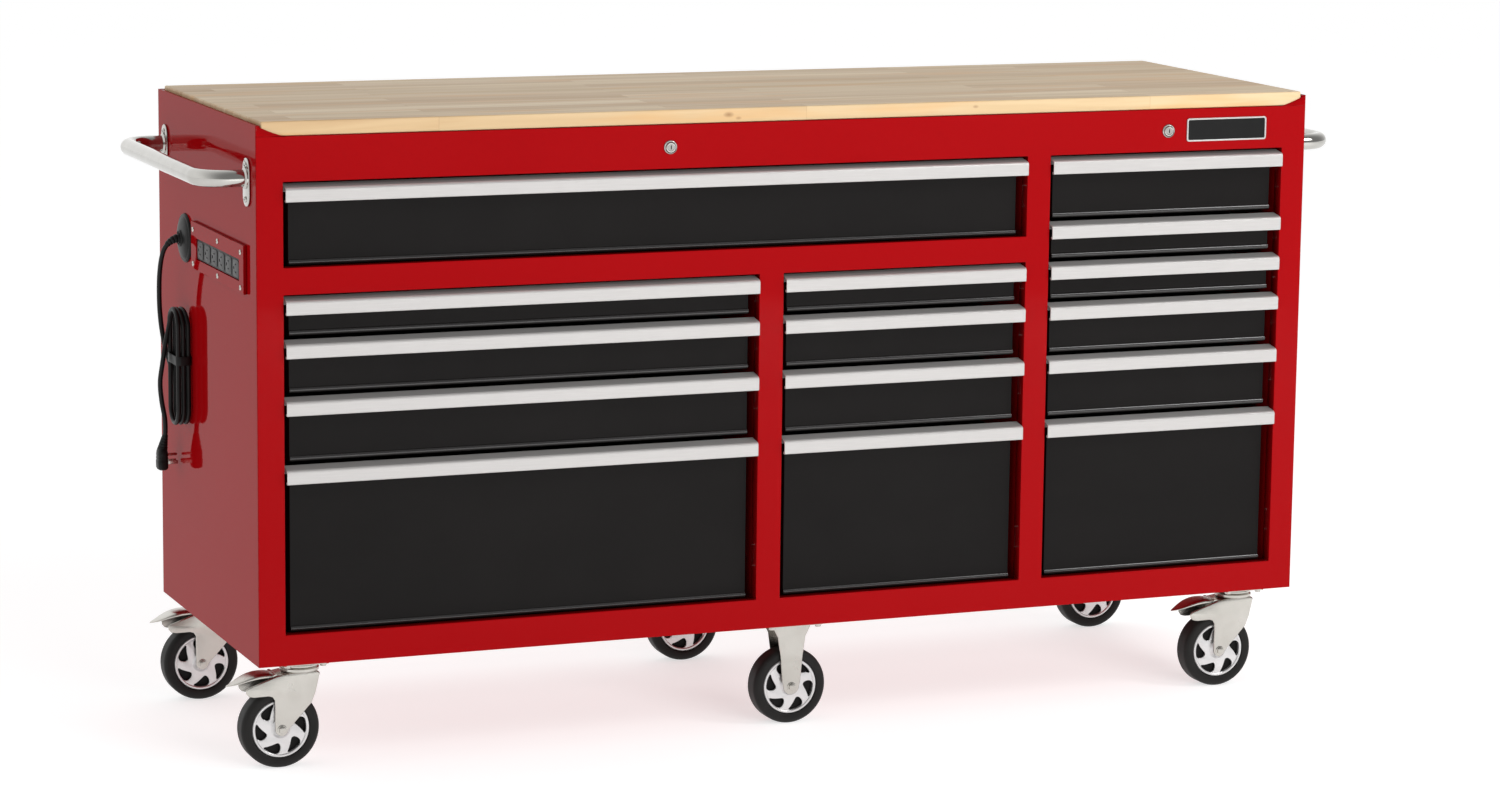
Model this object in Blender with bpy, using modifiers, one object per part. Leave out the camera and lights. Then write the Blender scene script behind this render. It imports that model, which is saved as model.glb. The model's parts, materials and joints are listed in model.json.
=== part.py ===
"""Rolling workbench with drawers.

A welded sheet-steel case stands on six casters and carries a wood top. Fifteen
drawers with full-width aluminium pulls run in three columns under it. Each end
has a tubular push handle, and the left end has a power strip with its cord.

Metres, +Z up. The origin is on the floor under the middle of the workbench.
+X runs along its length and -Y is the drawer side.
"""

import math

import bmesh
import bpy
from mathutils import Matrix, Vector

# Case
CASE_WIDTH = 1.829
CASE_DEPTH = 0.594
CASE_BOTTOM = 0.1736
SIDE_TOP = 1.0235
RAIL_TOP = 1.006
SHEET = 0.0015
GAP = 0.0003
HEM_WIDTH = 0.007
HEM_HEIGHT = 0.003
HEM_STEP = 0.0005
WOOD_THICKNESS = 0.0235
WOOD_END_GAP = 0.0015

# Front frame: flanges turn back around each opening
FLANGE_DEPTH = 0.022
LIP_DEPTH = 0.012
RAMP_WIDTH = 0.048
OPENING_TOP = 0.9355
MID_RAIL = (0.7595, 0.802)
OPENING_BOTTOM = 0.2225
LEFT_BAY = (-0.8715, -0.0785)
MIDDLE_BAY = (-0.0365, 0.3965)
RIGHT_BAY = (0.4385, 0.8715)
WIDE_BAY = (LEFT_BAY[0], MIDDLE_BAY[1])

# Row heights from the top of each column down
STACK_ROWS = (0.068, 0.090, 0.108, 0.271)
RIGHT_ROWS = (0.108, 0.068, 0.068, 0.090, 0.108, 0.271)

# Drawers and pulls, measured from the face of the front frame
PULL_PROUD = 0.008
PULL_END_GAP = 0.002
DRAWER_RECESS = 0.018
DRAWER_LENGTH = 0.530
DRAWER_SIDE_GAP = 0.0125
DRAWER_TOP_GAP = 0.006
DRAWER_BOTTOM_GAP = 0.0015
DRAWER_SIDE_DROP = 0.016
FRONT_HEM_HEIGHT = 0.008
FRONT_HEM_DEPTH = 0.0025

# Planes that follow from the case
FRONT = (PULL_PROUD - CASE_DEPTH) / 2
BACK = FRONT + CASE_DEPTH
MIDDLE_Y = (FRONT + BACK) / 2
SIDE = CASE_WIDTH / 2

# Inside the case
PAN_HEIGHT = 0.032
POST_FACE = 0.8725
POST_DEPTH = 0.040
POST_RISE = 0.004
REAR_POST = 0.110
DIVIDER_INSET = 0.001
SHELF_HEIGHT = 0.780
INSIDE_TOP = 1.004

# Casters
WHEEL_RADIUS = 0.0635
TYRE_WIDTH = 0.038
TYRE_SEAT = 0.044
WEB_RADIUS = 0.040
WEB_INSET = 0.006
HUB_RADIUS = 0.014
HUB_WIDTH = 0.042
AXLE_RADIUS = 0.006
AXLE_LENGTH = 0.057
KINGPIN_X = 0.834
KINGPIN_Y = 0.241
TRAIL = 0.035
FORK_WIDTH = 0.048
FORK_SHEET = 0.0025
FORK_TOP = 0.1545
CROWN_UNDERSIDE = 0.1500
RIGID_CROWN_UNDERSIDE = 0.1620
RIGID_PLATE_HALF_LENGTH = 0.048
BEARING_RADIUS = 0.026
PLATE_THICKNESS = 0.004
PLATE_HALF = (0.036, 0.043)
PEDAL_PIVOT = (-0.044, 0.1475)
PEDAL_WIDTH = 0.040
PEDAL_SHEET = 0.0025

# Side handles
HANDLE_Z = 0.938
HANDLE_HALF_SPAN = 0.250
HANDLE_STANDOFF = 0.072
HANDLE_TUBE = 0.0135
HANDLE_BEND = 0.045
BRACKET_SIZE = (0.034, 0.076)
BRACKET_THICKNESS = 0.003
BRACKET_Z = 0.9315

# Locks
LOCK_Z = 0.970
MAIN_LOCK_X = -0.235
COLUMN_LOCK_X = 0.655
LOCK_RADIUS = 0.009
LOCK_PROUD = 0.004
LOCK_REACH = 0.020

# Power strip cover on the left side
STRIP_Y = (-0.238, 0.0765)
STRIP_Z = (0.755, 0.832)
STRIP_THICKNESS = 0.0055
OUTLETS_Y = (-0.212, 0.0445)
OUTLETS_Z = (0.773, 0.807)
OUTLETS_DEPTH = 0.0042

# Cord: each point is (distance off the left side, Y, Z)
CORD_RADIUS = 0.004
CORD_STEP = 0.014
CAP_STEP = 0.001
DISC_CENTRE = (0.130, 0.797)
DISC_RADIUS = 0.040
BOOT_RADII = (0.0085, 0.0048)
BOOT_LENGTH = 0.026
LEAD_ROUTE = (
    (0.0080, 0.1300, 0.7970),
    (0.0185, 0.1304, 0.7955),
    (0.0270, 0.1325, 0.7903),
    (0.0328, 0.1365, 0.7820),
    (0.0358, 0.1425, 0.7710),
    (0.0365, 0.1530, 0.7540),
    (0.0355, 0.1660, 0.7310),
    (0.0340, 0.1750, 0.7040),
    (0.0325, 0.1785, 0.6740),
    (0.0300, 0.1775, 0.6440),
    (0.0260, 0.1730, 0.6150),
    (0.0195, 0.1675, 0.5870),
    (0.0120, 0.1625, 0.5630),
    (0.0075, 0.1608, 0.5450),
)
TAIL_ROUTE = (
    (0.0308, 0.1520, 0.6180),
    (0.0345, 0.1560, 0.5880),
    (0.0365, 0.1650, 0.5550),
    (0.0325, 0.1715, 0.5220),
    (0.0275, 0.1720, 0.4930),
    (0.0262, 0.1750, 0.4690),
    (0.0270, 0.1800, 0.4560),
    (0.0285, 0.1860, 0.4400),
)
HANK_CENTRE_Y = 0.126
HANK_OFF_SIDE = (0.0015, 0.0265)
HANK_Z = (0.490, 0.685)
HANK_WIDTH = 0.060
PLUG_CENTRE = (0.0290, 0.1885, 0.4240)
PLUG_SIZE = (0.018, 0.026, 0.038)
PRONG_LENGTH = 0.016


# ---------------------------------------------------------------- basic tools


def clear_scene():
    for old in list(bpy.data.objects):
        bpy.data.objects.remove(old, do_unlink=True)


def new_collection(name):
    collection = bpy.data.collections.new(name)
    bpy.context.scene.collection.children.link(collection)
    return collection


def material(name, color, roughness, metallic=0.0):
    made = bpy.data.materials.new(name)
    made.use_nodes = True
    shader = made.node_tree.nodes["Principled BSDF"]
    shader.inputs["Base Color"].default_value = (*color, 1.0)
    shader.inputs["Roughness"].default_value = roughness
    shader.inputs["Metallic"].default_value = metallic
    made.diffuse_color = (*color, 1.0)
    return made


def add_part(name, mesh, finish, location=(0, 0, 0)):
    """A visible sub-part of the workbench."""
    part = bpy.data.objects.new(name, mesh)
    part.location = location
    mesh.materials.clear()
    mesh.materials.append(finish)
    PARTS.objects.link(part)
    return part


def add_helper(name, mesh, location=(0, 0, 0)):
    """A hidden solid that cuts a sub-part or is joined to it."""
    helper = bpy.data.objects.new(name, mesh)
    helper.location = location
    helper.hide_render = True
    helper.display_type = "WIRE"
    HELPERS.objects.link(helper)
    return helper


def combine(target, helper, operation):
    modifier = target.modifiers.new(helper.name, "BOOLEAN")
    modifier.operation = operation
    modifier.solver = "EXACT"
    modifier.object = helper


def cut(target, name, mesh, location=(0, 0, 0)):
    combine(target, add_helper(name, mesh, location), "DIFFERENCE")


def join(target, name, mesh, location=(0, 0, 0)):
    combine(target, add_helper(name, mesh, location), "UNION")


def mesh_from(bm, name):
    bmesh.ops.recalc_face_normals(bm, faces=bm.faces)
    mesh = bpy.data.meshes.new(name)
    bm.to_mesh(mesh)
    bm.free()
    return mesh


def box(name, low, high):
    """A box between two opposite corners."""
    low, high = Vector(low), Vector(high)
    bm = bmesh.new()
    bmesh.ops.create_cube(bm, size=1.0)
    bmesh.ops.scale(bm, vec=high - low, verts=bm.verts)
    bmesh.ops.translate(bm, vec=(low + high) / 2, verts=bm.verts)
    return mesh_from(bm, name)


def cylinder(name, radius, low, high, axis="Z", segments=24):
    """A cylinder about an axis through its own origin, from low to high along it."""
    turn = {"X": Matrix.Rotation(math.pi / 2, 3, "Y"), "Y": Matrix.Rotation(-math.pi / 2, 3, "X")}
    bm = bmesh.new()
    bmesh.ops.create_cone(
        bm, cap_ends=True, segments=segments, radius1=radius, radius2=radius, depth=high - low
    )
    bmesh.ops.translate(bm, vec=(0, 0, (low + high) / 2), verts=bm.verts)
    bmesh.ops.rotate(bm, matrix=turn.get(axis, Matrix.Identity(3)), verts=bm.verts)
    return smooth(mesh_from(bm, name))


def smooth(mesh, angle=math.radians(35)):
    mesh.shade_smooth()
    mesh.set_sharp_from_angle(angle=angle)
    return mesh


def curve_to_mesh(curve, name):
    """The closed mesh of a curve, with its caps welded on."""
    guide = bpy.data.objects.new(name, curve)
    bpy.context.scene.collection.objects.link(guide)
    graph = bpy.context.evaluated_depsgraph_get()
    mesh = bpy.data.meshes.new_from_object(guide.evaluated_get(graph))
    bpy.data.objects.remove(guide)
    bm = bmesh.new()
    bm.from_mesh(mesh)
    bmesh.ops.remove_doubles(bm, verts=bm.verts, dist=0.00005)
    bmesh.ops.recalc_face_normals(bm, faces=bm.faces)
    bm.to_mesh(mesh)
    bm.free()
    mesh.name = name
    return mesh


def plate(name, outlines, low, high, axis):
    """Flat outlines given thickness along one axis. The first outline is the rim, the others are holes.

    Outline points are (Y, Z) for an X plate, (X, Z) for a Y plate and (X, Y) for a Z plate.
    """
    frames = {
        "X": Matrix(((0, 0, 1, 0), (1, 0, 0, 0), (0, 1, 0, 0), (0, 0, 0, 1))),
        "Y": Matrix(((1, 0, 0, 0), (0, 0, -1, 0), (0, 1, 0, 0), (0, 0, 0, 1))),
        "Z": Matrix.Identity(4),
    }
    curve = bpy.data.curves.new(name, "CURVE")
    curve.dimensions = "2D"
    curve.fill_mode = "BOTH"
    curve.extrude = (high - low) / 2
    for outline in outlines:
        spline = curve.splines.new("POLY")
        spline.points.add(len(outline) - 1)
        for point, (a, b) in zip(spline.points, outline):
            point.co = (a, b, 0, 1)
        spline.use_cyclic_u = True
    mesh = curve_to_mesh(curve, name)
    middle = -(low + high) / 2 if axis == "Y" else (low + high) / 2
    mesh.transform(frames[axis] @ Matrix.Translation((0, 0, middle)))
    return mesh


def arc(centre, radius, start, end, steps):
    """Points on an arc, with its angles in degrees."""
    angles = [math.radians(start + (end - start) * i / steps) for i in range(steps + 1)]
    return [(centre[0] + radius * math.cos(a), centre[1] + radius * math.sin(a)) for a in angles]


def circle(centre, radius, steps=20):
    return arc(centre, radius, 0, 360, steps)[:-1]


def stadium(centre, width, height, steps=8):
    """A slot shape with round ends, taller than wide."""
    radius = width / 2
    rise = height / 2 - radius
    top = arc((centre[0], centre[1] + rise), radius, 0, 180, steps)
    return top + arc((centre[0], centre[1] - rise), radius, 180, 360, steps)


def smooth_route(points, step, start=0.0, end=0.0):
    """Even points on a smooth curve through a few route points, less a length at its start and end.

    A short first and last step make each cap square to the curve.
    """
    knots = [Vector(p) for p in points]
    padded = [2 * knots[0] - knots[1], *knots, 2 * knots[-1] - knots[-2]]
    dense = []
    for p0, p1, p2, p3 in zip(padded, padded[1:], padded[2:], padded[3:]):
        for i in range(40):
            t = i / 40
            dense.append(
                0.5 * (2 * p1 + (p2 - p0) * t + (2 * p0 - 5 * p1 + 4 * p2 - p3) * t * t
                       + (3 * p1 - p0 - 3 * p2 + p3) * t * t * t)
            )
    dense.append(knots[-1])
    travelled = [0.0]
    for a, b in zip(dense, dense[1:]):
        travelled.append(travelled[-1] + (b - a).length)
    length = travelled[-1] - start - end
    count = max(2, round(length / step))
    stops = [0, CAP_STEP, *(length * i / count for i in range(1, count)), length - CAP_STEP, length]
    even, at = [], 0
    for stop in stops:
        target = start + stop
        while at < len(dense) - 2 and travelled[at + 1] < target:
            at += 1
        share = (target - travelled[at]) / (travelled[at + 1] - travelled[at])
        even.append(dense[at].lerp(dense[at + 1], min(1.0, share)))
    return even


def route_length(points):
    even = smooth_route(points, 0.002)
    return sum((b - a).length for a, b in zip(even, even[1:]))


def tube(name, points, radius, end_radius=None, resolution=2):
    """A capped round tube along points. Its radius may taper to end_radius."""
    curve = bpy.data.curves.new(name, "CURVE")
    curve.dimensions = "3D"
    curve.bevel_depth = radius
    curve.bevel_resolution = resolution
    curve.use_fill_caps = True
    spline = curve.splines.new("POLY")
    spline.points.add(len(points) - 1)
    last = (end_radius or radius) / radius
    for i, (point, place) in enumerate(zip(spline.points, points)):
        point.co = (*place, 1)
        point.radius = 1 + (last - 1) * i / (len(points) - 1)
    return smooth(curve_to_mesh(curve, name), math.radians(50))


def turned(name, profile, steps, finish, location, rotation):
    """A sub-part turned about its own Z axis from (radius, height) points, top to bottom."""
    mesh = bpy.data.meshes.new(name)
    closed = profile[0][0] > 0
    count = len(profile)
    edges = [(i, (i + 1) % count) for i in range(count if closed else count - 1)]
    mesh.from_pydata([(r, 0, z) for r, z in profile], edges, [])
    part = add_part(name, mesh, finish, location)
    part.rotation_euler = rotation
    screw = part.modifiers.new("turn", "SCREW")
    screw.steps = screw.render_steps = steps
    screw.use_merge_vertices = True
    screw.merge_threshold = 0.0001
    screw.use_smooth_shade = True
    return part


def off_left_side(point):
    """World place of a (distance off the left side, Y, Z) point."""
    return (-SIDE - point[0], point[1], point[2])


# ---------------------------------------------------------------- case


def front_frame(finish):
    """Sheet frame around the drawer openings, with flanges turned back around each one."""
    ramp = [
        (SIDE - RAMP_WIDTH * (1 - i / 6), RAIL_TOP + (SIDE_TOP - RAIL_TOP) * (i / 6) ** 1.3)
        for i in range(7)
    ]
    top = [(-x, z) for x, z in reversed(ramp)]
    rim = [(-SIDE, CASE_BOTTOM), (SIDE, CASE_BOTTOM), *reversed(ramp), *reversed(top)]
    column = (OPENING_BOTTOM, MID_RAIL[0])
    openings = {
        "left": (LEFT_BAY, column),
        "middle": (MIDDLE_BAY, column),
        "wide": (WIDE_BAY, (MID_RAIL[1], OPENING_TOP)),
        "right": (RIGHT_BAY, (OPENING_BOTTOM, OPENING_TOP)),
    }
    locks = [circle((x, LOCK_Z), LOCK_RADIUS + GAP) for x in (MAIN_LOCK_X, COLUMN_LOCK_X)]
    blank = plate("front_frame", [rim, *locks], FRONT, FRONT + FLANGE_DEPTH, "Y")
    frame = add_part("front_frame", blank, finish)
    behind = FRONT + FLANGE_DEPTH + 0.01
    low = (-SIDE - 0.01, FRONT + SHEET, CASE_BOTTOM + SHEET)
    high = (SIDE + 0.01, behind, RAIL_TOP - SHEET)
    hollow = add_helper("frame_hollow", box("frame_hollow", low, high))
    for name, (x, z) in openings.items():
        low = (x[0] - SHEET, FRONT - 0.01, z[0] - SHEET)
        high = (x[1] + SHEET, behind + 0.01, z[1] + SHEET)
        cut(hollow, f"flange_{name}", box(f"flange_{name}", low, high))
    combine(frame, hollow, "DIFFERENCE")
    for name, (x, z) in openings.items():
        opening = box(f"opening_{name}", (x[0], FRONT - 0.01, z[0]), (x[1], behind, z[1]))
        cut(frame, f"opening_{name}", opening)
    low = (-1, FRONT + SHEET, RAIL_TOP + GAP / 2)
    relief = box("frame_corner_relief", low, (1, behind, SIDE_TOP + 0.01))
    cut(frame, "frame_corner_relief", relief)
    inner = SIDE - SHEET - GAP
    for side, low, high in (("left", -1, -inner), ("right", inner, 1)):
        end = box(f"frame_end_{side}", (low, FRONT + SHEET, 0), (high, behind, 2))
        cut(frame, f"frame_end_{side}", end)
    for name, low, high in (
        ("frame_lip_bottom", CASE_BOTTOM - 0.001, CASE_BOTTOM + 2 * SHEET),
        ("frame_lip_top", RAIL_TOP - 2 * SHEET, RAIL_TOP + 0.001),
    ):
        cut(frame, name, box(name, (-1, FRONT + LIP_DEPTH, low), (1, behind, high)))
    return frame


def cabinet_wrap(finish):
    """Both sides and the back in one folded sheet, with a hem along the top and four slide posts."""
    front = FRONT + SHEET + GAP
    shell = box("cabinet_wrap", (-SIDE, front, CASE_BOTTOM), (SIDE, BACK, SIDE_TOP))
    wrap = add_part("cabinet_wrap", shell, finish)
    inner = SIDE - SHEET
    cut(wrap, "wrap_hollow", box("wrap_hollow", (-inner, -1, 0), (inner, BACK - SHEET, 2)))
    out, back = SIDE - SHEET / 2, BACK - SHEET / 2
    fold, start = SIDE - HEM_WIDTH, front + 0.001
    hem = [
        (-out, start), (-fold, start), (-fold, BACK - HEM_WIDTH), (fold, BACK - HEM_WIDTH),
        (fold, start), (out, start), (out, back), (-out, back),
    ]
    join(wrap, "hem", plate("hem", [hem], SIDE_TOP - HEM_HEIGHT, SIDE_TOP - HEM_STEP, "Z"))
    for side, sign in (("left", -1), ("right", 1)):
        for place, y in (("front", FRONT + FLANGE_DEPTH + 0.002), ("rear", BACK - REAR_POST)):
            name = f"post_{side}_{place}"
            post = channel((sign * out, y), (sign * POST_FACE, y + POST_DEPTH), "X")
            foot = CASE_BOTTOM + PAN_HEIGHT + POST_RISE
            join(wrap, name, plate(name, [post], foot, INSIDE_TOP, "Z"))
    return wrap


def channel(open_corner, far_corner, opens):
    """Outline of a sheet channel between two corners. It is open on the first corner's side."""
    (x0, y0), (x1, y1) = open_corner, far_corner
    dx, dy = math.copysign(SHEET, x1 - x0), math.copysign(SHEET, y1 - y0)
    if opens == "X":
        return [
            (x0, y0), (x1, y0), (x1, y1), (x0, y1),
            (x0, y1 - dy), (x1 - dx, y1 - dy), (x1 - dx, y0 + dy), (x0, y0 + dy),
        ]
    return [
        (x0, y0), (x0, y1), (x1, y1), (x1, y0),
        (x1 - dx, y0), (x1 - dx, y1 - dy), (x0 + dx, y1 - dy), (x0 + dx, y0),
    ]


def base_and_dividers(finish):
    """Floor pan with its caster plates, two column dividers and the shelf under the wide drawer."""
    edge = SIDE - SHEET - GAP
    start, end = FRONT + LIP_DEPTH + GAP, BACK - SHEET - GAP
    rim = CASE_BOTTOM + PAN_HEIGHT
    floor = box("base_and_dividers", (-edge, start, CASE_BOTTOM), (edge, end, rim))
    pan = add_part("base_and_dividers", floor, finish)
    cut(
        pan,
        "pan_hollow",
        box(
            "pan_hollow",
            (-edge + SHEET, start + SHEET, CASE_BOTTOM + SHEET),
            (edge - SHEET, end - SHEET, rim + 0.01),
        ),
    )
    web = FRONT + FLANGE_DEPTH + GAP
    gaps_between_bays = (
        ("left", LEFT_BAY[1], MIDDLE_BAY[0], SHELF_HEIGHT),
        ("right", MIDDLE_BAY[1], RIGHT_BAY[0], INSIDE_TOP),
    )
    for side, x0, x1, top in gaps_between_bays:
        name = f"divider_{side}"
        low, high = x0 + DIVIDER_INSET, x1 - DIVIDER_INSET
        outline = channel((low, end - 2 * SHEET), (high, web), "Y")
        join(pan, name, plate(name, [outline], CASE_BOTTOM + SHEET / 2, top, "Z"))
    shelf = box(
        "shelf",
        (-POST_FACE + GAP, web + SHEET / 2, SHELF_HEIGHT - SHEET / 2),
        (MIDDLE_BAY[1] + DIVIDER_INSET + SHEET / 2, end, SHELF_HEIGHT + SHEET),
    )
    join(pan, "shelf", shelf)
    for x in (-KINGPIN_X, KINGPIN_X):
        for y in (MIDDLE_Y - KINGPIN_Y, MIDDLE_Y + KINGPIN_Y):
            name = f"caster_plate_{'left' if x < 0 else 'right'}_{'front' if y < 0 else 'rear'}"
            low = (x - PLATE_HALF[0], y - PLATE_HALF[1], CASE_BOTTOM - PLATE_THICKNESS)
            high = (x + PLATE_HALF[0], y + PLATE_HALF[1], CASE_BOTTOM + SHEET / 2)
            join(pan, name, box(name, low, high))
    return pan


def wood_top(finish):
    """Solid wood top, held between the hems of the sides and the back."""
    half = SIDE - HEM_WIDTH - WOOD_END_GAP
    low = (-half, FRONT + SHEET + GAP, RAIL_TOP + 2 * GAP)
    high = (half, BACK - HEM_WIDTH - WOOD_END_GAP, RAIL_TOP + WOOD_THICKNESS)
    top = add_part("wood_top", box("wood_top", low, high), finish)
    soften = top.modifiers.new("soften", "BEVEL")
    soften.width = 0.0015
    soften.segments = 1
    return top


# ---------------------------------------------------------------- drawers


def drawer(name, bay, top, height, finish):
    """Open tray with a taller front, made of folded sheet. A hem runs along the front's foot."""
    low_x, high_x = bay[0] + DRAWER_SIDE_GAP, bay[1] - DRAWER_SIDE_GAP
    low_z, high_z = top - height + DRAWER_BOTTOM_GAP, top - DRAWER_TOP_GAP
    side_z = high_z - DRAWER_SIDE_DROP
    front, back = FRONT + DRAWER_RECESS, FRONT + DRAWER_RECESS + DRAWER_LENGTH
    hem_y = front - FRONT_HEM_DEPTH
    section = [
        (front, side_z), (front, low_z + FRONT_HEM_HEIGHT),
        (hem_y, low_z + 0.75 * FRONT_HEM_HEIGHT), (hem_y, low_z + 0.25 * FRONT_HEM_HEIGHT),
        (front, low_z), (back, low_z), (back, side_z),
    ]
    bm = bmesh.new()
    rows = [[bm.verts.new((x, y - front, z - low_z)) for y, z in section] for x in (low_x, high_x)]
    for i in range(len(section) - 1):
        bm.faces.new((rows[0][i], rows[0][i + 1], rows[1][i + 1], rows[1][i]))
    for row in rows:
        bm.faces.new(row)
    lip = [bm.verts.new((x, 0, high_z - low_z)) for x in (low_x, high_x)]
    bm.faces.new((lip[0], rows[0][0], rows[1][0], lip[1]))
    middle = (low_x + high_x) / 2
    bmesh.ops.translate(bm, vec=(-middle, 0, 0), verts=bm.verts)
    tray = add_part(name, mesh_from(bm, name), finish, (middle, front, low_z))
    turn_outward(tray.data)
    fold = tray.modifiers.new("sheet", "SOLIDIFY")
    fold.thickness = SHEET
    fold.offset = -1
    fold.use_even_offset = True
    return tray


def turn_outward(mesh):
    """An open tray's faces point out when its floor points down."""
    floor = min(mesh.polygons, key=lambda face: (face.center.z, -face.area))
    if floor.normal.z > 0:
        mesh.flip_normals()


def pull(name, bay, top, finish):
    """Full-width aluminium pull, open underneath for fingers."""
    section = [
        (0.0177, -0.0040), (-0.0050, -0.0085), (-0.0074, -0.0103), (-0.0080, -0.0125),
        (-0.0080, -0.0296), (-0.0070, -0.0310), (-0.0030, -0.0310), (-0.0018, -0.0298),
        (-0.0018, -0.0272), (-0.0034, -0.0272), (-0.0034, -0.0292), (-0.0062, -0.0292),
        (-0.0062, -0.0130), (-0.0044, -0.0104), (0.0159, -0.0064), (0.0159, -0.0170),
        (0.0177, -0.0170),
    ]
    half = (bay[1] - bay[0]) / 2 - PULL_END_GAP
    middle = (bay[0] + bay[1]) / 2
    return add_part(name, plate(name, [section], -half, half, "X"), finish, (middle, FRONT, top))


def column_of_drawers(side, bay, top, rows, drawer_finish, pull_finish):
    for number, height in enumerate(rows, 1):
        drawer(f"drawer_{side}_{number}", bay, top, height, drawer_finish)
        pull(f"pull_{side}_{number}", bay, top, pull_finish)
        top -= height


# ---------------------------------------------------------------- casters


def wheel(name, x, y, finish):
    """Wheel with a tyre round its rim and a hub bored for the axle."""
    rim, half = WHEEL_RADIUS, TYRE_WIDTH / 2
    bore, hub = AXLE_RADIUS + GAP, HUB_WIDTH / 2
    profile = [
        (TYRE_SEAT, half), (rim - 0.006, half), (rim - 0.0015, half - 0.006), (rim, half - 0.013),
        (rim, -half + 0.013), (rim - 0.0015, -half + 0.006), (rim - 0.006, -half),
        (TYRE_SEAT, -half), (WEB_RADIUS, -half + WEB_INSET), (HUB_RADIUS + 0.002, -half + WEB_INSET),
        (HUB_RADIUS, -hub), (bore, -hub), (bore, hub), (HUB_RADIUS, hub),
        (HUB_RADIUS + 0.002, half - WEB_INSET), (WEB_RADIUS, half - WEB_INSET),
    ]
    return turned(name, profile, 28, finish, (x, y, rim), (-math.pi / 2, 0, 0))


def add_axle(fork, name, x, y):
    rod = cylinder(name, AXLE_RADIUS, -AXLE_LENGTH / 2, AXLE_LENGTH / 2, "Y", 12)
    join(fork, name, rod, (x, y, WHEEL_RADIUS))


def cut_wheel_slot(fork, name, x, y, ceiling):
    """Room for the wheel between the two cheeks."""
    half = FORK_WIDTH / 2 - FORK_SHEET
    cut(fork, name, box(name, (-0.1, -half, 0), (0.1, half, ceiling)), (x, y, 0))


def swivel_fork(name, x, y, finish):
    """Fork that turns about its kingpin, with the wheel trailing behind it and a bearing on top."""
    axle = -TRAIL
    foot = arc((axle, WHEEL_RADIUS), 0.0105, 180, 360, 6)
    outline = [
        (0.0280, FORK_TOP), (-0.0300, FORK_TOP - 0.0020), (-0.0600, 0.1440), (-0.0930, 0.1330),
        (-0.0910, 0.1215), (-0.0840, 0.1185), (-0.0520, 0.1185), (-0.0455, 0.1120),
        *foot, (0.0160, 0.1060),
    ]
    half = FORK_WIDTH / 2
    fork = add_part(name, plate(name, [outline], -half, half, "Y"), finish, (x, y, 0))
    cut_wheel_slot(fork, f"{name}_slot", x, y, CROWN_UNDERSIDE)
    top = CASE_BOTTOM - PLATE_THICKNESS - GAP
    bearing = cylinder(f"{name}_bearing", BEARING_RADIUS, FORK_TOP - 0.002, top)
    join(fork, f"{name}_bearing", bearing, (x, y, 0))
    add_axle(fork, f"{name}_axle", x + axle, y)
    return fork


def rigid_fork(name, x, y, finish):
    """Fork fixed under the middle of the case, with its own plate."""
    foot = arc((0, WHEEL_RADIUS), 0.0135, 180, 360, 6)
    neck = CASE_BOTTOM - PLATE_THICKNESS
    outline = [
        (0.0330, neck), (-0.0330, neck), (-0.0250, 0.1480), (-0.0165, 0.0720),
        *foot, (0.0165, 0.0720), (0.0250, 0.1480),
    ]
    half = FORK_WIDTH / 2
    fork = add_part(name, plate(name, [outline], -half, half, "Y"), finish, (x, y, 0))
    cut_wheel_slot(fork, f"{name}_slot", x, y, RIGID_CROWN_UNDERSIDE)
    low = (-RIGID_PLATE_HALF_LENGTH, -PLATE_HALF[1], neck - 0.0008)
    high = (RIGID_PLATE_HALF_LENGTH, PLATE_HALF[1], CASE_BOTTOM - GAP)
    join(fork, f"{name}_plate", box(f"{name}_plate", low, high), (x, y, 0))
    add_axle(fork, f"{name}_axle", x, y)
    return fork


def brake_pedal(name, x, y, finish):
    """Foot lever between the fork's cheeks. It tips about the pivot bar at its inner end."""
    px, pz = PEDAL_PIVOT
    top = [(0.000, 0.0060), (-0.0290, 0.0075), (-0.0420, 0.0030), (-0.0760, -0.0130)]
    side_view = top + [(a, b - PEDAL_SHEET) for a, b in reversed(top)]
    half = PEDAL_WIDTH / 2
    pedal = add_part(name, plate(name, [side_view], -half, half, "Y"), finish, (x + px, y, pz))
    tip = [(-0.095, -0.030), (-0.095, -0.009), (-0.042, -0.0165), (-0.030, -0.030)]
    for side, outline in (("front", tip), ("rear", [(a, -b) for a, b in reversed(tip)])):
        trim = f"{name}_trim_{side}"
        cut(pedal, trim, plate(trim, [outline], -0.03, 0.03, "Z"), (x + px, y, pz))
    bar = cylinder(f"{name}_bar", 0.0045, -half, half, "Y", 12)
    join(pedal, f"{name}_bar", bar, (x + px, y, pz + 0.0010))
    return pedal


def casters(steel, tyre):
    """Four braked swivel casters at the corners and two rigid ones in the middle."""
    for row, y in (("front", MIDDLE_Y - KINGPIN_Y), ("rear", MIDDLE_Y + KINGPIN_Y)):
        for side, x in (("left", -KINGPIN_X), ("right", KINGPIN_X)):
            swivel_fork(f"fork_{row}_{side}", x, y, steel)
            wheel(f"wheel_{row}_{side}", x - TRAIL, y, tyre)
            brake_pedal(f"pedal_{row}_{side}", x, y, steel)
        rigid_fork(f"fork_{row}_middle", 0, y, steel)
        wheel(f"wheel_{row}_middle", 0, y, tyre)


# ---------------------------------------------------------------- fittings


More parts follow.
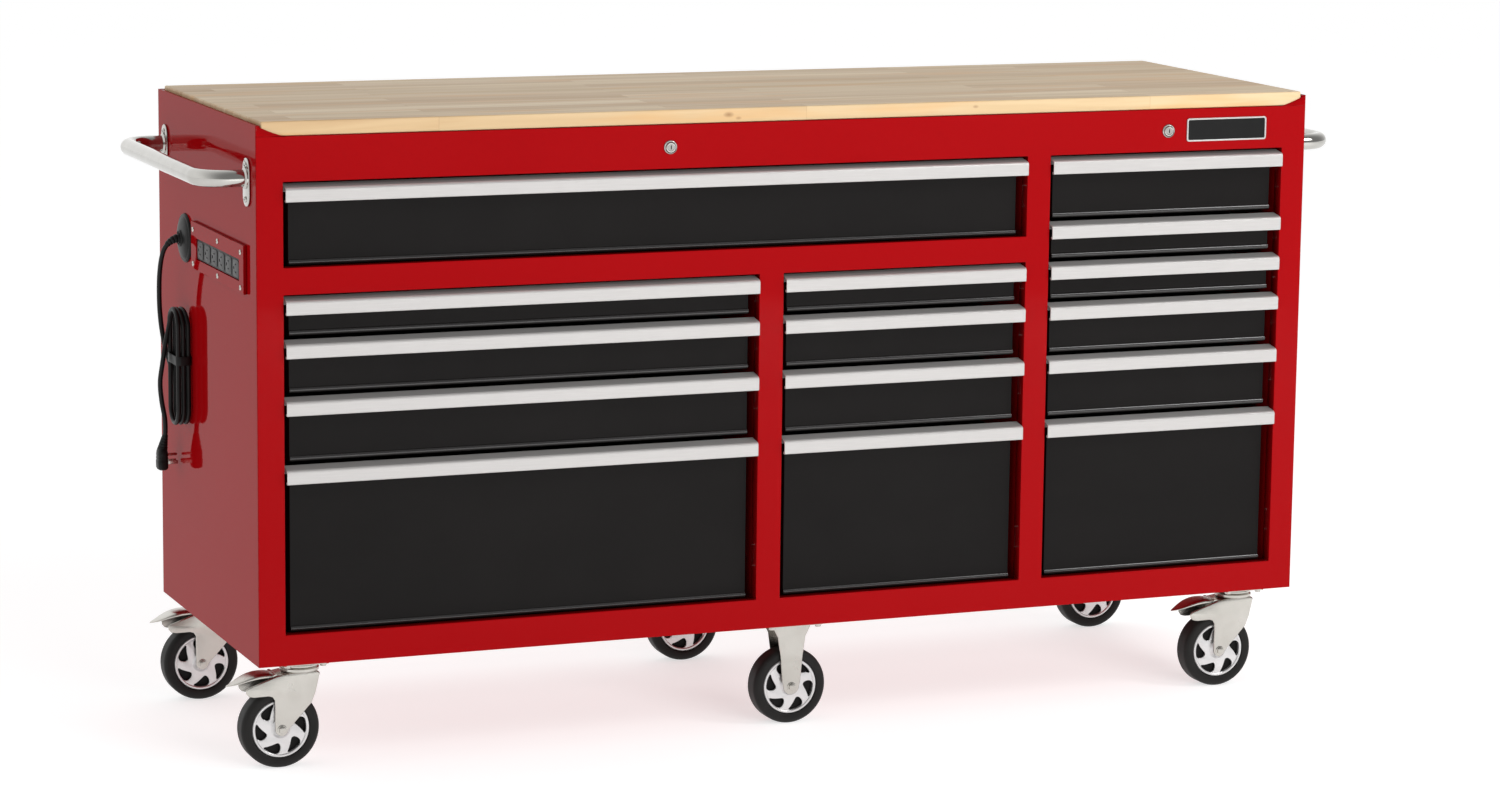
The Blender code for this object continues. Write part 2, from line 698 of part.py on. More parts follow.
def side_handle(name, sign, finish):
    """Push handle: a bent tube between two oval brackets."""
    face = SIDE + GAP
    out = SIDE + HANDLE_STANDOFF
    corner = out - HANDLE_BEND
    turn = HANDLE_HALF_SPAN - HANDLE_BEND
    far = arc((corner, turn), HANDLE_BEND, 90, 0, 6)
    near = arc((corner, -turn), HANDLE_BEND, 0, -90, 6)
    path = [(face + BRACKET_THICKNESS / 2, HANDLE_HALF_SPAN), *far, *near]
    path.append((face + BRACKET_THICKNESS / 2, -HANDLE_HALF_SPAN))
    points = [(sign * x, y + MIDDLE_Y, HANDLE_Z) for x, y in path]
    handle = add_part(name, tube(name, points, HANDLE_TUBE, resolution=3), finish)
    low, high = sorted((sign * face, sign * (face + BRACKET_THICKNESS)))
    for place, y in (("front", MIDDLE_Y - HANDLE_HALF_SPAN), ("rear", MIDDLE_Y + HANDLE_HALF_SPAN)):
        bracket = f"{name}_{place}"
        oval = stadium((y, BRACKET_Z), *BRACKET_SIZE)
        join(handle, bracket, plate(bracket, [oval], low, high, "X"))
    return handle


def lock(name, x, finish):
    """Lock plug through the top rail, with its cam behind the sheet."""
    barrel = cylinder(name, LOCK_RADIUS, -LOCK_PROUD, LOCK_REACH, "Y", 20)
    plug_body = add_part(name, barrel, finish, (x, FRONT, LOCK_Z))
    cam = box(
        f"{name}_cam",
        (-0.006, LOCK_REACH - 0.003, -0.006),
        (0.006, LOCK_REACH - 0.001, 0.026),
    )
    join(plug_body, f"{name}_cam", cam, (x, FRONT, LOCK_Z))
    return plug_body


def power_strip_cover(finish):
    """Raised cover plate on the left side with a recess for the outlets."""
    high = -SIDE - GAP
    low = high - STRIP_THICKNESS
    cover = add_part(
        "power_strip_cover",
        box("power_strip_cover", (low, STRIP_Y[0], STRIP_Z[0]), (high, STRIP_Y[1], STRIP_Z[1])),
        finish,
    )
    near = (low - 0.01, OUTLETS_Y[0], OUTLETS_Z[0])
    far = (low + OUTLETS_DEPTH, OUTLETS_Y[1], OUTLETS_Z[1])
    cut(cover, "outlet_recess", box("outlet_recess", near, far))
    return cover


def cord_outlet(finish):
    """Round dished cover where the cord leaves the left side, with its tapered strain relief."""
    face = -SIDE - GAP
    profile = [
        (0, 0.0100), (0.018, 0.0096), (0.031, 0.0078), (0.038, 0.0045), (DISC_RADIUS, 0.0020),
        (DISC_RADIUS, 0), (0, 0),
    ]
    disc = turned("cord_outlet", profile, 32, finish, (face, *DISC_CENTRE), (0, -math.pi / 2, 0))
    past_boot = route_length(LEAD_ROUTE) - BOOT_LENGTH
    points = [off_left_side(p) for p in smooth_route(LEAD_ROUTE, 0.004, 0, past_boot)]
    join(disc, "strain_relief", tube("strain_relief", points, *BOOT_RADII))
    return disc


def power_cord(finish):
    """The cord's two free runs, and the hank that holds the rest of it."""
    lead = [off_left_side(p) for p in smooth_route(LEAD_ROUTE, CORD_STEP, BOOT_LENGTH + GAP)]
    add_part("cord_lead", tube("cord_lead", lead, CORD_RADIUS), finish)
    tail = [off_left_side(p) for p in smooth_route(TAIL_ROUTE, CORD_STEP, 0, BOOT_LENGTH + GAP)]
    add_part("cord_tail", tube("cord_tail", tail, CORD_RADIUS), finish)
    middle = (HANK_CENTRE_Y, (HANK_Z[0] + HANK_Z[1]) / 2)
    outline = stadium(middle, HANK_WIDTH, HANK_Z[1] - HANK_Z[0])
    low, high = -SIDE - HANK_OFF_SIDE[1], -SIDE - HANK_OFF_SIDE[0]
    add_part("cord_hank", plate("cord_hank", [outline], low, high, "X"), finish)


def plug(finish):
    """Right-angle plug at the end of the tail, with its prongs towards the cabinet."""
    centre = Vector(off_left_side(PLUG_CENTRE))
    half = Vector(PLUG_SIZE) / 2
    body = add_part("plug", box("plug", -half, half), finish, centre)
    soften = body.modifiers.new("soften", "BEVEL")
    soften.width = 0.005
    soften.segments = 2
    soften.limit_method = "NONE"
    before_boot = route_length(TAIL_ROUTE) - BOOT_LENGTH
    points = [off_left_side(p) for p in smooth_route(TAIL_ROUTE, 0.004, before_boot)]
    join(body, "plug_boot", tube("plug_boot", list(reversed(points)), *BOOT_RADII))
    reach = half.x + PRONG_LENGTH
    for place, y in (("front", -0.0064), ("rear", 0.0064)):
        low = (half.x - 0.003, y - 0.0008, -0.0092)
        blade = box(f"prong_{place}", low, (reach, y + 0.0008, -0.0028))
        join(body, f"prong_{place}", blade, centre)
    earth = cylinder("prong_earth", 0.0024, half.x - 0.003, reach, "X", 10)
    join(body, "prong_earth", earth, centre + Vector((0, 0, 0.0060)))
    return body


# ---------------------------------------------------------------- assembly


def build():
    red = material("red_powder_coat", (0.45, 0.012, 0.014), 0.25)
    black = material("black_powder_coat", (0.012, 0.012, 0.012), 0.45)
    aluminium = material("satin_aluminium", (0.78, 0.77, 0.76), 0.35, 1.0)
    wood = material("butcher_block", (0.62, 0.44, 0.25), 0.45)
    chrome = material("chrome", (0.80, 0.80, 0.80), 0.12, 1.0)
    zinc = material("zinc_steel", (0.68, 0.67, 0.64), 0.30, 1.0)
    tyre = material("tyre_rubber", (0.02, 0.02, 0.02), 0.6)
    plastic = material("black_plastic", (0.015, 0.015, 0.015), 0.5)
    jacket = material("cord_jacket", (0.012, 0.012, 0.012), 0.55)

    front_frame(red)
    cabinet_wrap(red)
    base_and_dividers(red)
    wood_top(wood)
    wide_rows = (OPENING_TOP - MID_RAIL[1],)
    column_of_drawers("wide", WIDE_BAY, OPENING_TOP, wide_rows, black, aluminium)
    column_of_drawers("left", LEFT_BAY, MID_RAIL[0], STACK_ROWS, black, aluminium)
    column_of_drawers("middle", MIDDLE_BAY, MID_RAIL[0], STACK_ROWS, black, aluminium)
    column_of_drawers("right", RIGHT_BAY, OPENING_TOP, RIGHT_ROWS, black, aluminium)
    casters(zinc, tyre)
    side_handle("side_handle_left", -1, chrome)
    side_handle("side_handle_right", 1, chrome)
    lock("main_lock", MAIN_LOCK_X, chrome)
    lock("column_lock", COLUMN_LOCK_X, chrome)
    power_strip_cover(red)
    cord_outlet(plastic)
    power_cord(jacket)
    plug(plastic)


clear_scene()
PARTS = new_collection("rolling_workbench")
HELPERS = new_collection("helpers")
build()
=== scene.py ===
"""Rolling workbench with drawers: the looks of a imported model.

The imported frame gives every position. Sheet-metal nodes keep their solids and get rounded
folds and paint. Casters, handles, locks, cord and plug are rebuilt in finer detail.
Metres, +Z up; -Y is the drawer side and -X the end with the power strip.
"""

import json
import math

import bmesh
import bpy
from mathutils import Matrix, Vector

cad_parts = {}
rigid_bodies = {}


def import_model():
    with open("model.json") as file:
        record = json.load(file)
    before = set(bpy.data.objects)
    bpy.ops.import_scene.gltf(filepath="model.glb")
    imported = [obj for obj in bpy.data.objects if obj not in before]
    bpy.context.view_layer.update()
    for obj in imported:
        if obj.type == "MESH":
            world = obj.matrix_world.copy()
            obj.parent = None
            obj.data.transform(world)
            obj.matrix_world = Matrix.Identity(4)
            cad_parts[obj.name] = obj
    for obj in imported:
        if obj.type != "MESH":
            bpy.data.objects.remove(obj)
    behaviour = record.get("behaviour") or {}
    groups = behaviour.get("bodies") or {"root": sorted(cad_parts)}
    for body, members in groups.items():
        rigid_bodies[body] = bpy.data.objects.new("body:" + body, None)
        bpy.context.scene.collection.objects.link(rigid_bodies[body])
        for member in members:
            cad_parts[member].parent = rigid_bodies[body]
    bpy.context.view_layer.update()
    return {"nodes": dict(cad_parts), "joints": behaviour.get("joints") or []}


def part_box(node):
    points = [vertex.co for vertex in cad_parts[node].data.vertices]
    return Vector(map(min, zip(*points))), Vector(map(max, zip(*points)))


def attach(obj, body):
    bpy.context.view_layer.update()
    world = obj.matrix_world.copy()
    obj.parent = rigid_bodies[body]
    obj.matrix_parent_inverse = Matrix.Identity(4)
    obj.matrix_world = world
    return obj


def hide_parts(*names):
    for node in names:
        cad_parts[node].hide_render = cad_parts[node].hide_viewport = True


for startup in list(bpy.data.objects):
    bpy.data.objects.remove(startup, do_unlink=True)
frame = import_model()

NODES = frame["nodes"]
JOINTS = {joint["name"]: joint for joint in frame["joints"]}
DRAWERS = [name[len("drawer_"):] for name in sorted(NODES) if name.startswith("drawer_")]
CORNERS = [f"{row}_{side}" for row in ("front", "rear") for side in ("left", "right")]
ROWS = ("front", "rear")

# Camera
CAMERA_PLACE = (-2.6872, -6.6645, 1.7363)
CAMERA_YAW = math.radians(22.763)
CAMERA_PITCH = math.radians(9.446)
CAMERA_ROLL = math.radians(0.784)
CAMERA_LENS = 103.49
CAMERA_SHIFT = (-0.0304, -0.0111)

# Planes of the case
CASE_LOW, CASE_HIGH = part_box("cabinet_wrap")
SIDE = CASE_HIGH.x
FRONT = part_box("front_frame")[0].y
BACK = CASE_HIGH.y
MIDDLE_Y = (FRONT + BACK) / 2
SHEET = 0.0015
GAP = 0.0003

# Cord: each point is (distance off the left side, Y, Z)
CORD_DIAMETER = 0.008
CORD_STEP = 0.005
FINE_STEP = 0.0005
BOOT_STEPS = 40
BOOT_OVERLAP = 0.006
BOOT_LENGTH = 0.026
BOOT_RADII = (0.0085, 0.0048)
BOOT_RIBS = 5
LEAD_ROUTE = (
    (0.0080, 0.1300, 0.7970),
    (0.0185, 0.1304, 0.7955),
    (0.0270, 0.1325, 0.7903),
    (0.0328, 0.1365, 0.7820),
    (0.0358, 0.1425, 0.7710),
    (0.0365, 0.1530, 0.7540),
    (0.0355, 0.1660, 0.7310),
    (0.0340, 0.1750, 0.7040),
    (0.0325, 0.1785, 0.6740),
    (0.0300, 0.1775, 0.6440),
    (0.0260, 0.1730, 0.6150),
    (0.0195, 0.1675, 0.5870),
    (0.0120, 0.1625, 0.5630),
    (0.0075, 0.1608, 0.5450),
)
TAIL_ROUTE = (
    (0.0308, 0.1520, 0.6180),
    (0.0345, 0.1560, 0.5880),
    (0.0365, 0.1650, 0.5550),
    (0.0325, 0.1715, 0.5220),
    (0.0275, 0.1720, 0.4930),
    (0.0262, 0.1750, 0.4690),
    (0.0270, 0.1800, 0.4560),
    (0.0285, 0.1860, 0.4400),
)
HANK_STRANDS = (0.100, 0.152)
HANK_LAYERS = (0.0058, 0.0140, 0.0222)
HANK_FOLDS = (0.520, 0.655)
FOLD_STEPS = 10
TIE_Z = (0.592, 0.607)
PLUG_HALF = (0.009, 0.013)


# Shape tools


def smooth_route(points, step, closed=False):
    """Even points on a Catmull-Rom curve through a few points."""
    knots = [Vector(p) for p in points]
    if closed:
        padded = [knots[-1], *knots, knots[0], knots[1]]
    else:
        padded = [2 * knots[0] - knots[1], *knots, 2 * knots[-1] - knots[-2]]
    dense = []
    for p0, p1, p2, p3 in zip(padded, padded[1:], padded[2:], padded[3:]):
        for i in range(24):
            t = i / 24
            dense.append(
                0.5 * (2 * p1 + (p2 - p0) * t + (2 * p0 - 5 * p1 + 4 * p2 - p3) * t * t
                       + (3 * p1 - p0 - 3 * p2 + p3) * t * t * t)
            )
    dense.append(padded[-2])
    travelled = [0.0]
    for a, b in zip(dense, dense[1:]):
        travelled.append(travelled[-1] + (b - a).length)
    count = max(2, round(travelled[-1] / step))
    even, at = [], 0
    for i in range(count + (not closed)):
        target = travelled[-1] * i / count
        while at < len(dense) - 2 and travelled[at + 1] < target:
            at += 1
        span = travelled[at + 1] - travelled[at]
        even.append(dense[at].lerp(dense[at + 1], (target - travelled[at]) / span))
    return even


def length_of(points):
    return sum((b - a).length for a, b in zip(points, points[1:]))


def arc(centre, radius, start, end, steps):
    """Points on an arc, with its angles in degrees."""
    angles = [math.radians(start + (end - start) * i / steps) for i in range(steps + 1)]
    return [(centre[0] + radius * math.cos(a), centre[1] + radius * math.sin(a)) for a in angles]


def mirrored(half):
    """A ring profile from the points on its upper half."""
    return [*half, *((radius, -height) for radius, height in reversed(half)), half[0]]


def stadium(centre, width, height, steps=12):
    """A slot shape with round ends, taller than wide."""
    radius = width / 2
    rise = height / 2 - radius
    top = arc((centre[0], centre[1] + rise), radius, 0, 180, steps)
    return top + arc((centre[0], centre[1] - rise), radius, 180, 360, steps)


def rounded_rectangle(centre, width, height, radius, steps=6):
    x, y = width / 2 - radius, height / 2 - radius
    points = []
    for sx, sy, start in ((1, 1, 0), (-1, 1, 90), (-1, -1, 180), (1, -1, 270)):
        corner = (centre[0] + sx * x, centre[1] + sy * y)
        points += arc(corner, radius, start, start + 90, steps)
    return points


def placed(name, data):
    """A new object in the scene."""
    item = bpy.data.objects.new(name, data)
    bpy.context.scene.collection.objects.link(item)
    return item


def stand_on(axis, place=(0, 0, 0)):
    """Turns +Z to an axis and moves the origin to a place."""
    turn = Vector((0, 0, 1)).rotation_difference(Vector(axis)).to_matrix().to_4x4()
    return Matrix.Translation(place) @ turn


def shade(mesh, sharp):
    """Smooth shading, except across sharp angles."""
    mesh.shade_smooth()
    mesh.set_sharp_from_angle(angle=math.radians(sharp))
    return mesh


def skin(bm, rings):
    """Faces from ring to ring, with both ends closed."""
    sides = len(rings[0])
    for a, b in zip(rings, rings[1:]):
        for k in range(sides):
            j = (k + 1) % sides
            bm.faces.new((a[k], a[j], b[j], b[k]))
    bm.faces.new(rings[0])
    bm.faces.new(rings[-1])


def mesh_of(bm, name, sharp=35):
    """The finished mesh: welded, facing outward and shaded."""
    bmesh.ops.remove_doubles(bm, verts=bm.verts, dist=1e-6)
    bmesh.ops.recalc_face_normals(bm, faces=bm.faces)
    mesh = bpy.data.meshes.new(name)
    bm.to_mesh(mesh)
    bm.free()
    return shade(mesh, sharp)


def lathe(name, profile, place=(0, 0, 0), axis=(0, 0, 1), steps=64, sharp=35):
    """A turned shape from (radius, height) points. A profile that ends where it starts is a ring."""
    bm = bmesh.new()
    rings = []
    for radius, height in profile:
        count = steps if radius > 1e-9 else 1
        angles = [2 * math.pi * i / steps for i in range(count)]
        ring = [bm.verts.new((radius * math.cos(a), radius * math.sin(a), height)) for a in angles]
        rings.append(ring)
    for a, b in zip(rings, rings[1:]):
        for i in range(steps):
            j = (i + 1) % steps
            corners = (a[i % len(a)], a[j % len(a)], b[j % len(b)], b[i % len(b)])
            bm.faces.new(dict.fromkeys(corners))
    bm.transform(stand_on(axis, place))
    return mesh_of(bm, name, sharp)


def sweep(name, points, radii, sides=24):
    """A capped round tube along points, with a radius for each point."""
    points = [Vector(p) for p in points]
    tangents = [(b - a).normalized() for a, b in zip(points, points[1:])]
    tangents.append(tangents[-1])
    across = tangents[0].orthogonal().normalized()
    bm = bmesh.new()
    rings = []
    for i, (point, radius) in enumerate(zip(points, radii)):
        ahead = (tangents[max(0, i - 1)] + tangents[i]).normalized()
        across = (across - ahead * across.dot(ahead)).normalized()
        up = ahead.cross(across)
        turns = [2 * math.pi * k / sides for k in range(sides)]
        offsets = [across * math.cos(a) + up * math.sin(a) for a in turns]
        rings.append([bm.verts.new(point + offset * radius) for offset in offsets])
    skin(bm, rings)
    return mesh_of(bm, name, 50)


def slab(name, outlines, low, high, axis, edge=0.0, place=(0, 0, 0), sharp=35):
    """Flat outlines given thickness along an axis, with rounded edges: a rim and then its holes.

    Outline points are (Y, Z) for an X slab, (X, Z) for a Y slab and (X, Y) for a Z slab.
    """
    frames = {
        "X": Matrix(((0, 0, 1, 0), (1, 0, 0, 0), (0, 1, 0, 0), (0, 0, 0, 1))),
        "Y": Matrix(((1, 0, 0, 0), (0, 0, 1, 0), (0, 1, 0, 0), (0, 0, 0, 1))),
        "Z": Matrix.Identity(4),
    }
    curve = bpy.data.curves.new(name, "CURVE")
    curve.dimensions = "2D"
    curve.fill_mode = "BOTH"
    curve.bevel_depth = edge
    curve.bevel_resolution = 2
    curve.offset = -edge
    curve.extrude = (high - low) / 2 - edge
    for outline in outlines:
        spline = curve.splines.new("POLY")
        spline.points.add(len(outline) - 1)
        for point, (a, b) in zip(spline.points, outline):
            point.co = (a, b, 0, 1)
        spline.use_cyclic_u = True
    guide = placed(name, curve)
    flat = bpy.data.meshes.new_from_object(guide.evaluated_get(bpy.context.evaluated_depsgraph_get()))
    bpy.data.objects.remove(guide)
    bm = bmesh.new()
    bm.from_mesh(flat)
    middle = Matrix.Translation((0, 0, (low + high) / 2))
    bm.transform(Matrix.Translation(place) @ frames[axis] @ middle)
    return mesh_of(bm, name, sharp)


def block(name, low, high, edge=0.0, segments=3):
    """A box between two corners with rounded edges."""
    low, high = Vector(low), Vector(high)
    bm = bmesh.new()
    bmesh.ops.create_cube(bm, size=1.0)
    bmesh.ops.scale(bm, vec=high - low, verts=bm.verts)
    bmesh.ops.translate(bm, vec=(low + high) / 2, verts=bm.verts)
    if edge:
        bmesh.ops.bevel(bm, geom=bm.edges, offset=edge, segments=segments, profile=0.5, affect="EDGES")
    return mesh_of(bm, name)


def loft(name, stations, sides=32):
    """A closed shape through level rounded-square rings: (x, y, z, half x, half y, squareness)."""
    bm = bmesh.new()
    rings = []
    for x, y, z, half_x, half_y, square in stations:
        ring = []
        for k in range(sides):
            c, s = math.cos(2 * math.pi * k / sides), math.sin(2 * math.pi * k / sides)
            reach = (abs(c) ** square + abs(s) ** square) ** (-1 / square)
            ring.append(bm.verts.new((x + half_x * c * reach, y + half_y * s * reach, z)))
        rings.append(ring)
    skin(bm, rings)
    return mesh_of(bm, name, 60)


def merged(name, meshes, sharp=35):
    """Several closed shapes in one mesh."""
    bm = bmesh.new()
    for mesh in meshes:
        bm.from_mesh(mesh)
        bpy.data.meshes.remove(mesh)
    whole = bpy.data.meshes.new(name)
    bm.to_mesh(whole)
    bm.free()
    return shade(whole, sharp)


def subtract(mesh, cutters, sharp=35):
    """The mesh with each cutter's space removed."""
    body = placed("cut_body", mesh)
    helpers = []
    for cutter in cutters:
        helper = placed("cutter", cutter)
        helpers.append(helper)
        modifier = body.modifiers.new("cut", "BOOLEAN")
        modifier.operation = "DIFFERENCE"
        modifier.solver = "EXACT"
        modifier.object = helper
    graph = bpy.context.evaluated_depsgraph_get()
    result = bpy.data.meshes.new_from_object(body.evaluated_get(graph))
    for item in (body, *helpers):
        bpy.data.objects.remove(item)
    result.name = mesh.name
    return shade(result, sharp)


def add(name, mesh, look, body="cabinet", stands_for=()):
    """A piece of the workbench that moves with a body, with its one material."""
    piece = placed(name, mesh)
    mesh.materials.clear()
    mesh.materials.append(look)
    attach(piece, body)
    if stands_for:
        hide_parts(*stands_for)
    return piece


def soften(piece, width, segments=3):
    """Rounded edges."""
    bevel = piece.modifiers.new("rounded_edges", "BEVEL")
    bevel.width = width
    bevel.segments = segments
    bevel.limit_method = "ANGLE"
    bevel.angle_limit = math.radians(28)
    return piece


def finish_node(name, look, width, segments=2):
    """Keeps a solid of the frame, with its own material and rounded edges."""
    node = NODES[name]
    node.material_slots[0].material = look
    weld = node.modifiers.new("weld", "WELD")
    weld.merge_threshold = 1e-5
    whole_faces = node.modifiers.new("whole_faces", "DECIMATE")
    whole_faces.decimate_type = "DISSOLVE"
    whole_faces.angle_limit = math.radians(0.5)
    return soften(node, width, segments)


def off_left_side(point):
    """World place of a (distance off the left side, Y, Z) point."""
    return Vector((-SIDE - point[0], point[1], point[2]))


# Materials


class Look:
    """A procedural material, built onto its Principled shader."""

    def __init__(self, name, color, roughness, metallic=0.0, **sockets):
        self.material = bpy.data.materials.new(name)
        self.material.use_nodes = True
        self.tree = self.material.node_tree
        self.shader = self.tree.nodes["Principled BSDF"]
        self.shader.inputs["Base Color"].default_value = (*color, 1.0)
        self.shader.inputs["Roughness"].default_value = roughness
        self.shader.inputs["Metallic"].default_value = metallic
        for socket, value in sockets.items():
            self.shader.inputs[socket.replace("_", " ")].default_value = value
        self.place = self.node("ShaderNodeTexCoord").outputs["Object"]
        self.material.diffuse_color = (*color, 1.0)

    def node(self, kind, **settings):
        made = self.tree.nodes.new(kind)
        for key, value in settings.items():
            setattr(made, key, value)
        return made

    def link(self, output, socket):
        self.tree.links.new(output, socket)
        return output

    def feed(self, value, socket):
        """Links an output to a socket, or sets a plain value on it."""
        if isinstance(value, bpy.types.NodeSocket):
            self.link(value, socket)
        else:
            socket.default_value = (*value, 1.0) if isinstance(value, tuple) else value

    def stretched(self, scale):
        """Object coordinates with a scale along each axis."""
        mapping = self.node("ShaderNodeMapping")
        mapping.inputs["Scale"].default_value = scale
        self.link(self.place, mapping.inputs["Vector"])
        return mapping.outputs["Vector"]

    def noise(self, scale, detail=3.0, stretch=(1, 1, 1), distortion=0.0, place=None):
        texture = self.node("ShaderNodeTexNoise")
        texture.inputs["Scale"].default_value = scale
        texture.inputs["Detail"].default_value = detail
        texture.inputs["Distortion"].default_value = distortion
        self.link(place or self.stretched(stretch), texture.inputs["Vector"])
        return texture.outputs["Fac"]

    def ramp(self, value, *stops):
        """Colours or greys at positions along a value from 0 to 1."""
        ramp = self.node("ShaderNodeValToRGB")
        elements = ramp.color_ramp.elements
        while len(elements) < len(stops):
            elements.new(0.5)
        for element, (position, color) in zip(elements, stops):
            element.position = position
            element.color = (*color, 1.0) if isinstance(color, tuple) else (color, color, color, 1.0)
        self.link(value, ramp.inputs["Fac"])
        return ramp.outputs["Color"]

    def mix(self, factor, a, b, blend="MIX"):
        """Two colours, as outputs or tuples, mixed by a factor."""
        mix = self.node("ShaderNodeMix", data_type="RGBA", blend_type=blend)
        for value, socket in ((factor, "Factor_Float"), (a, "A_Color"), (b, "B_Color")):
            self.feed(value, next(s for s in mix.inputs if s.identifier == socket))
        return next(s for s in mix.outputs if s.identifier == "Result_Color")

    def math(self, operation, a, b):
        node = self.node("ShaderNodeMath", operation=operation)
        self.feed(a, node.inputs[0])
        self.feed(b, node.inputs[1])
        return node.outputs[0]

    def between(self, value, low, high):
        """A 0 to 1 value spread between two limits."""
        spread = self.node("ShaderNodeMapRange")
        spread.inputs["To Min"].default_value = low
        spread.inputs["To Max"].default_value = high
        self.link(value, spread.inputs["Value"])
        return spread.outputs["Result"]

    def facing(self):
        """0 where the surface faces the eye, 1 where it is seen edge on."""
        weight = self.node("ShaderNodeLayerWeight")
        weight.inputs["Blend"].default_value = 0.5
        return weight.outputs["Facing"]

    def bump(self, height, distance, strength=1.0):
        bump = self.node("ShaderNodeBump")
        bump.inputs["Strength"].default_value = strength
        bump.inputs["Distance"].default_value = distance
        self.link(height, bump.inputs["Height"])
        self.link(bump.outputs["Normal"], self.shader.inputs["Normal"])

    def tones(self, value, low, high):
        """Base colour between two tones."""
        self.link(self.mix(value, low, high), self.shader.inputs["Base Color"])

    def roughness(self, value, low, high):
        """Roughness between two limits."""
        self.link(self.between(value, low, high), self.shader.inputs["Roughness"])


def red_paint():
    """Glossy powder coat: a clear smooth skin over slightly uneven colour."""
    look = Look(
        "red_gloss_powder_coat", (0.29, 0.002, 0.004), 0.42,
        Specular_IOR_Level=0.0, Coat_Roughness=0.035,
    )
    patches = look.noise(2.2, 4, (1, 1, 1))
    look.tones(patches, (0.248, 0.0012, 0.0026), (0.276, 0.0024, 0.0038))
    look.link(look.between(look.facing(), 0.06, 0.37), look.shader.inputs["Coat Weight"])
    look.roughness(look.noise(9.0, 2), 0.36, 0.48)
    look.bump(look.noise(420.0, 1.5), 0.00006)
    return look.material


def black_paint():
    """Satin powder coat with a fine texture and a little dust in it."""
    look = Look("black_satin_powder_coat", (0.007, 0.0062, 0.0060), 0.40, Specular_IOR_Level=0.13)
    patches = look.noise(3.5, 5, (1, 1, 2))
    look.tones(patches, (0.0040, 0.0034, 0.0033), (0.0070, 0.0060, 0.0057))
    look.roughness(look.noise(14.0, 3), 0.38, 0.52)
    look.bump(look.noise(900.0, 2), 0.00005)
    return look.material


def black_edge_paint():
    """The same paint drawn thinner and glossier over a rolled edge."""
    look = Look(
        "black_gloss_edge", (0.009, 0.008, 0.008), 0.24,
        Specular_IOR_Level=0.6, Coat_Weight=0.5, Coat_Roughness=0.12,
    )
    look.tones(look.noise(6.0, 4), (0.007, 0.006, 0.006), (0.012, 0.011, 0.011))
    look.roughness(look.noise(30.0, 3), 0.20, 0.30)
    look.bump(look.noise(900.0, 2), 0.00003, 0.6)
    return look.material


def aluminium():
    """Anodised extrusion with fine lines along its length."""
    look = Look("satin_aluminium", (0.50, 0.485, 0.475), 0.38, 0.5)
    lines = look.noise(60.0, 4, (0.3, 14, 14))
    look.tones(lines, (0.45, 0.435, 0.425), (0.55, 0.535, 0.525))
    look.roughness(lines, 0.34, 0.46)
    look.bump(lines, 0.00003, 0.5)
    return look.material


def chrome():
    look = Look("chrome_plate", (0.68, 0.675, 0.66), 0.09, 1.0)
    haze = look.noise(30.0, 3)
    look.tones(haze, (0.44, 0.43, 0.405), (0.58, 0.57, 0.54))
    look.roughness(look.noise(80.0, 4), 0.05, 0.14)
    look.bump(look.noise(25.0, 1), 0.0002, 0.3)
    return look.material


def zinc():
    """Bright zinc plate on pressed steel, with soft stains and rolling marks."""
    look = Look("bright_zinc_steel", (0.64, 0.62, 0.58), 0.24, 1.0)
    stains = look.noise(22.0, 5, (1, 1, 1), 0.6)
    look.tones(stains, (0.48, 0.46, 0.42), (0.66, 0.64, 0.60))
    look.roughness(look.noise(45.0, 5), 0.17, 0.32)
    look.bump(look.noise(110.0, 2, (1, 1, 2)), 0.00005, 0.35)
    return look.material


def cast_rim():
    look = Look("silver_cast_rim", (0.80, 0.79, 0.79), 0.32, 0.85)
    grain = look.noise(260.0, 4)
    look.tones(look.noise(40.0, 3), (0.62, 0.61, 0.61), (0.76, 0.75, 0.75))
    look.roughness(grain, 0.26, 0.40)
    look.bump(grain, 0.0001, 0.4)
    return look.material


def tyre_rubber():
    look = Look("tyre_rubber", (0.008, 0.0075, 0.0072), 0.50, Specular_IOR_Level=0.22)
    dust = look.noise(38.0, 6)
    look.tones(dust, (0.005, 0.0047, 0.0045), (0.013, 0.0122, 0.0115))
    look.roughness(dust, 0.42, 0.66)
    look.bump(look.noise(520.0, 4), 0.0001, 0.7)
    return look.material


def moulded_black(name, base, roughness):
    look = Look(name, (base, base, base), roughness, Specular_IOR_Level=0.2)
    look.tones(look.noise(60.0, 4), (base * 0.8,) * 3, (base * 1.35,) * 3)
    look.roughness(look.noise(120.0, 3), roughness - 0.08, roughness + 0.08)
    look.bump(look.noise(1400.0, 2), 0.00008, 0.6)
    return look.material


def black_core_and_keyway_shade():
    """Black of the wheel's core seen through its windows, also used as painted shade on the block inside each
    keyway.
    """
    look = Look("black_core_and_painted_keyway_shade", (0.006, 0.006, 0.006), 0.7, Specular_IOR_Level=0.2)
    look.tones(look.noise(50.0, 3), (0.004, 0.004, 0.004), (0.010, 0.009, 0.009))
    look.bump(look.noise(300.0, 3), 0.0001)
    return look.material


STAVE_WIDTH = 0.044
STAVE_LENGTH = 0.62
WORKTOP = CASE_HIGH.z
KNOTS = (
    (-0.135, FRONT, 1.019, 0.0055), (-0.118, FRONT, 1.013, 0.0035), (0.300, FRONT, 1.020, 0.0035),
    (0.42, -0.12, WORKTOP, 0.009), (-0.61, 0.13, WORKTOP, 0.008),
)


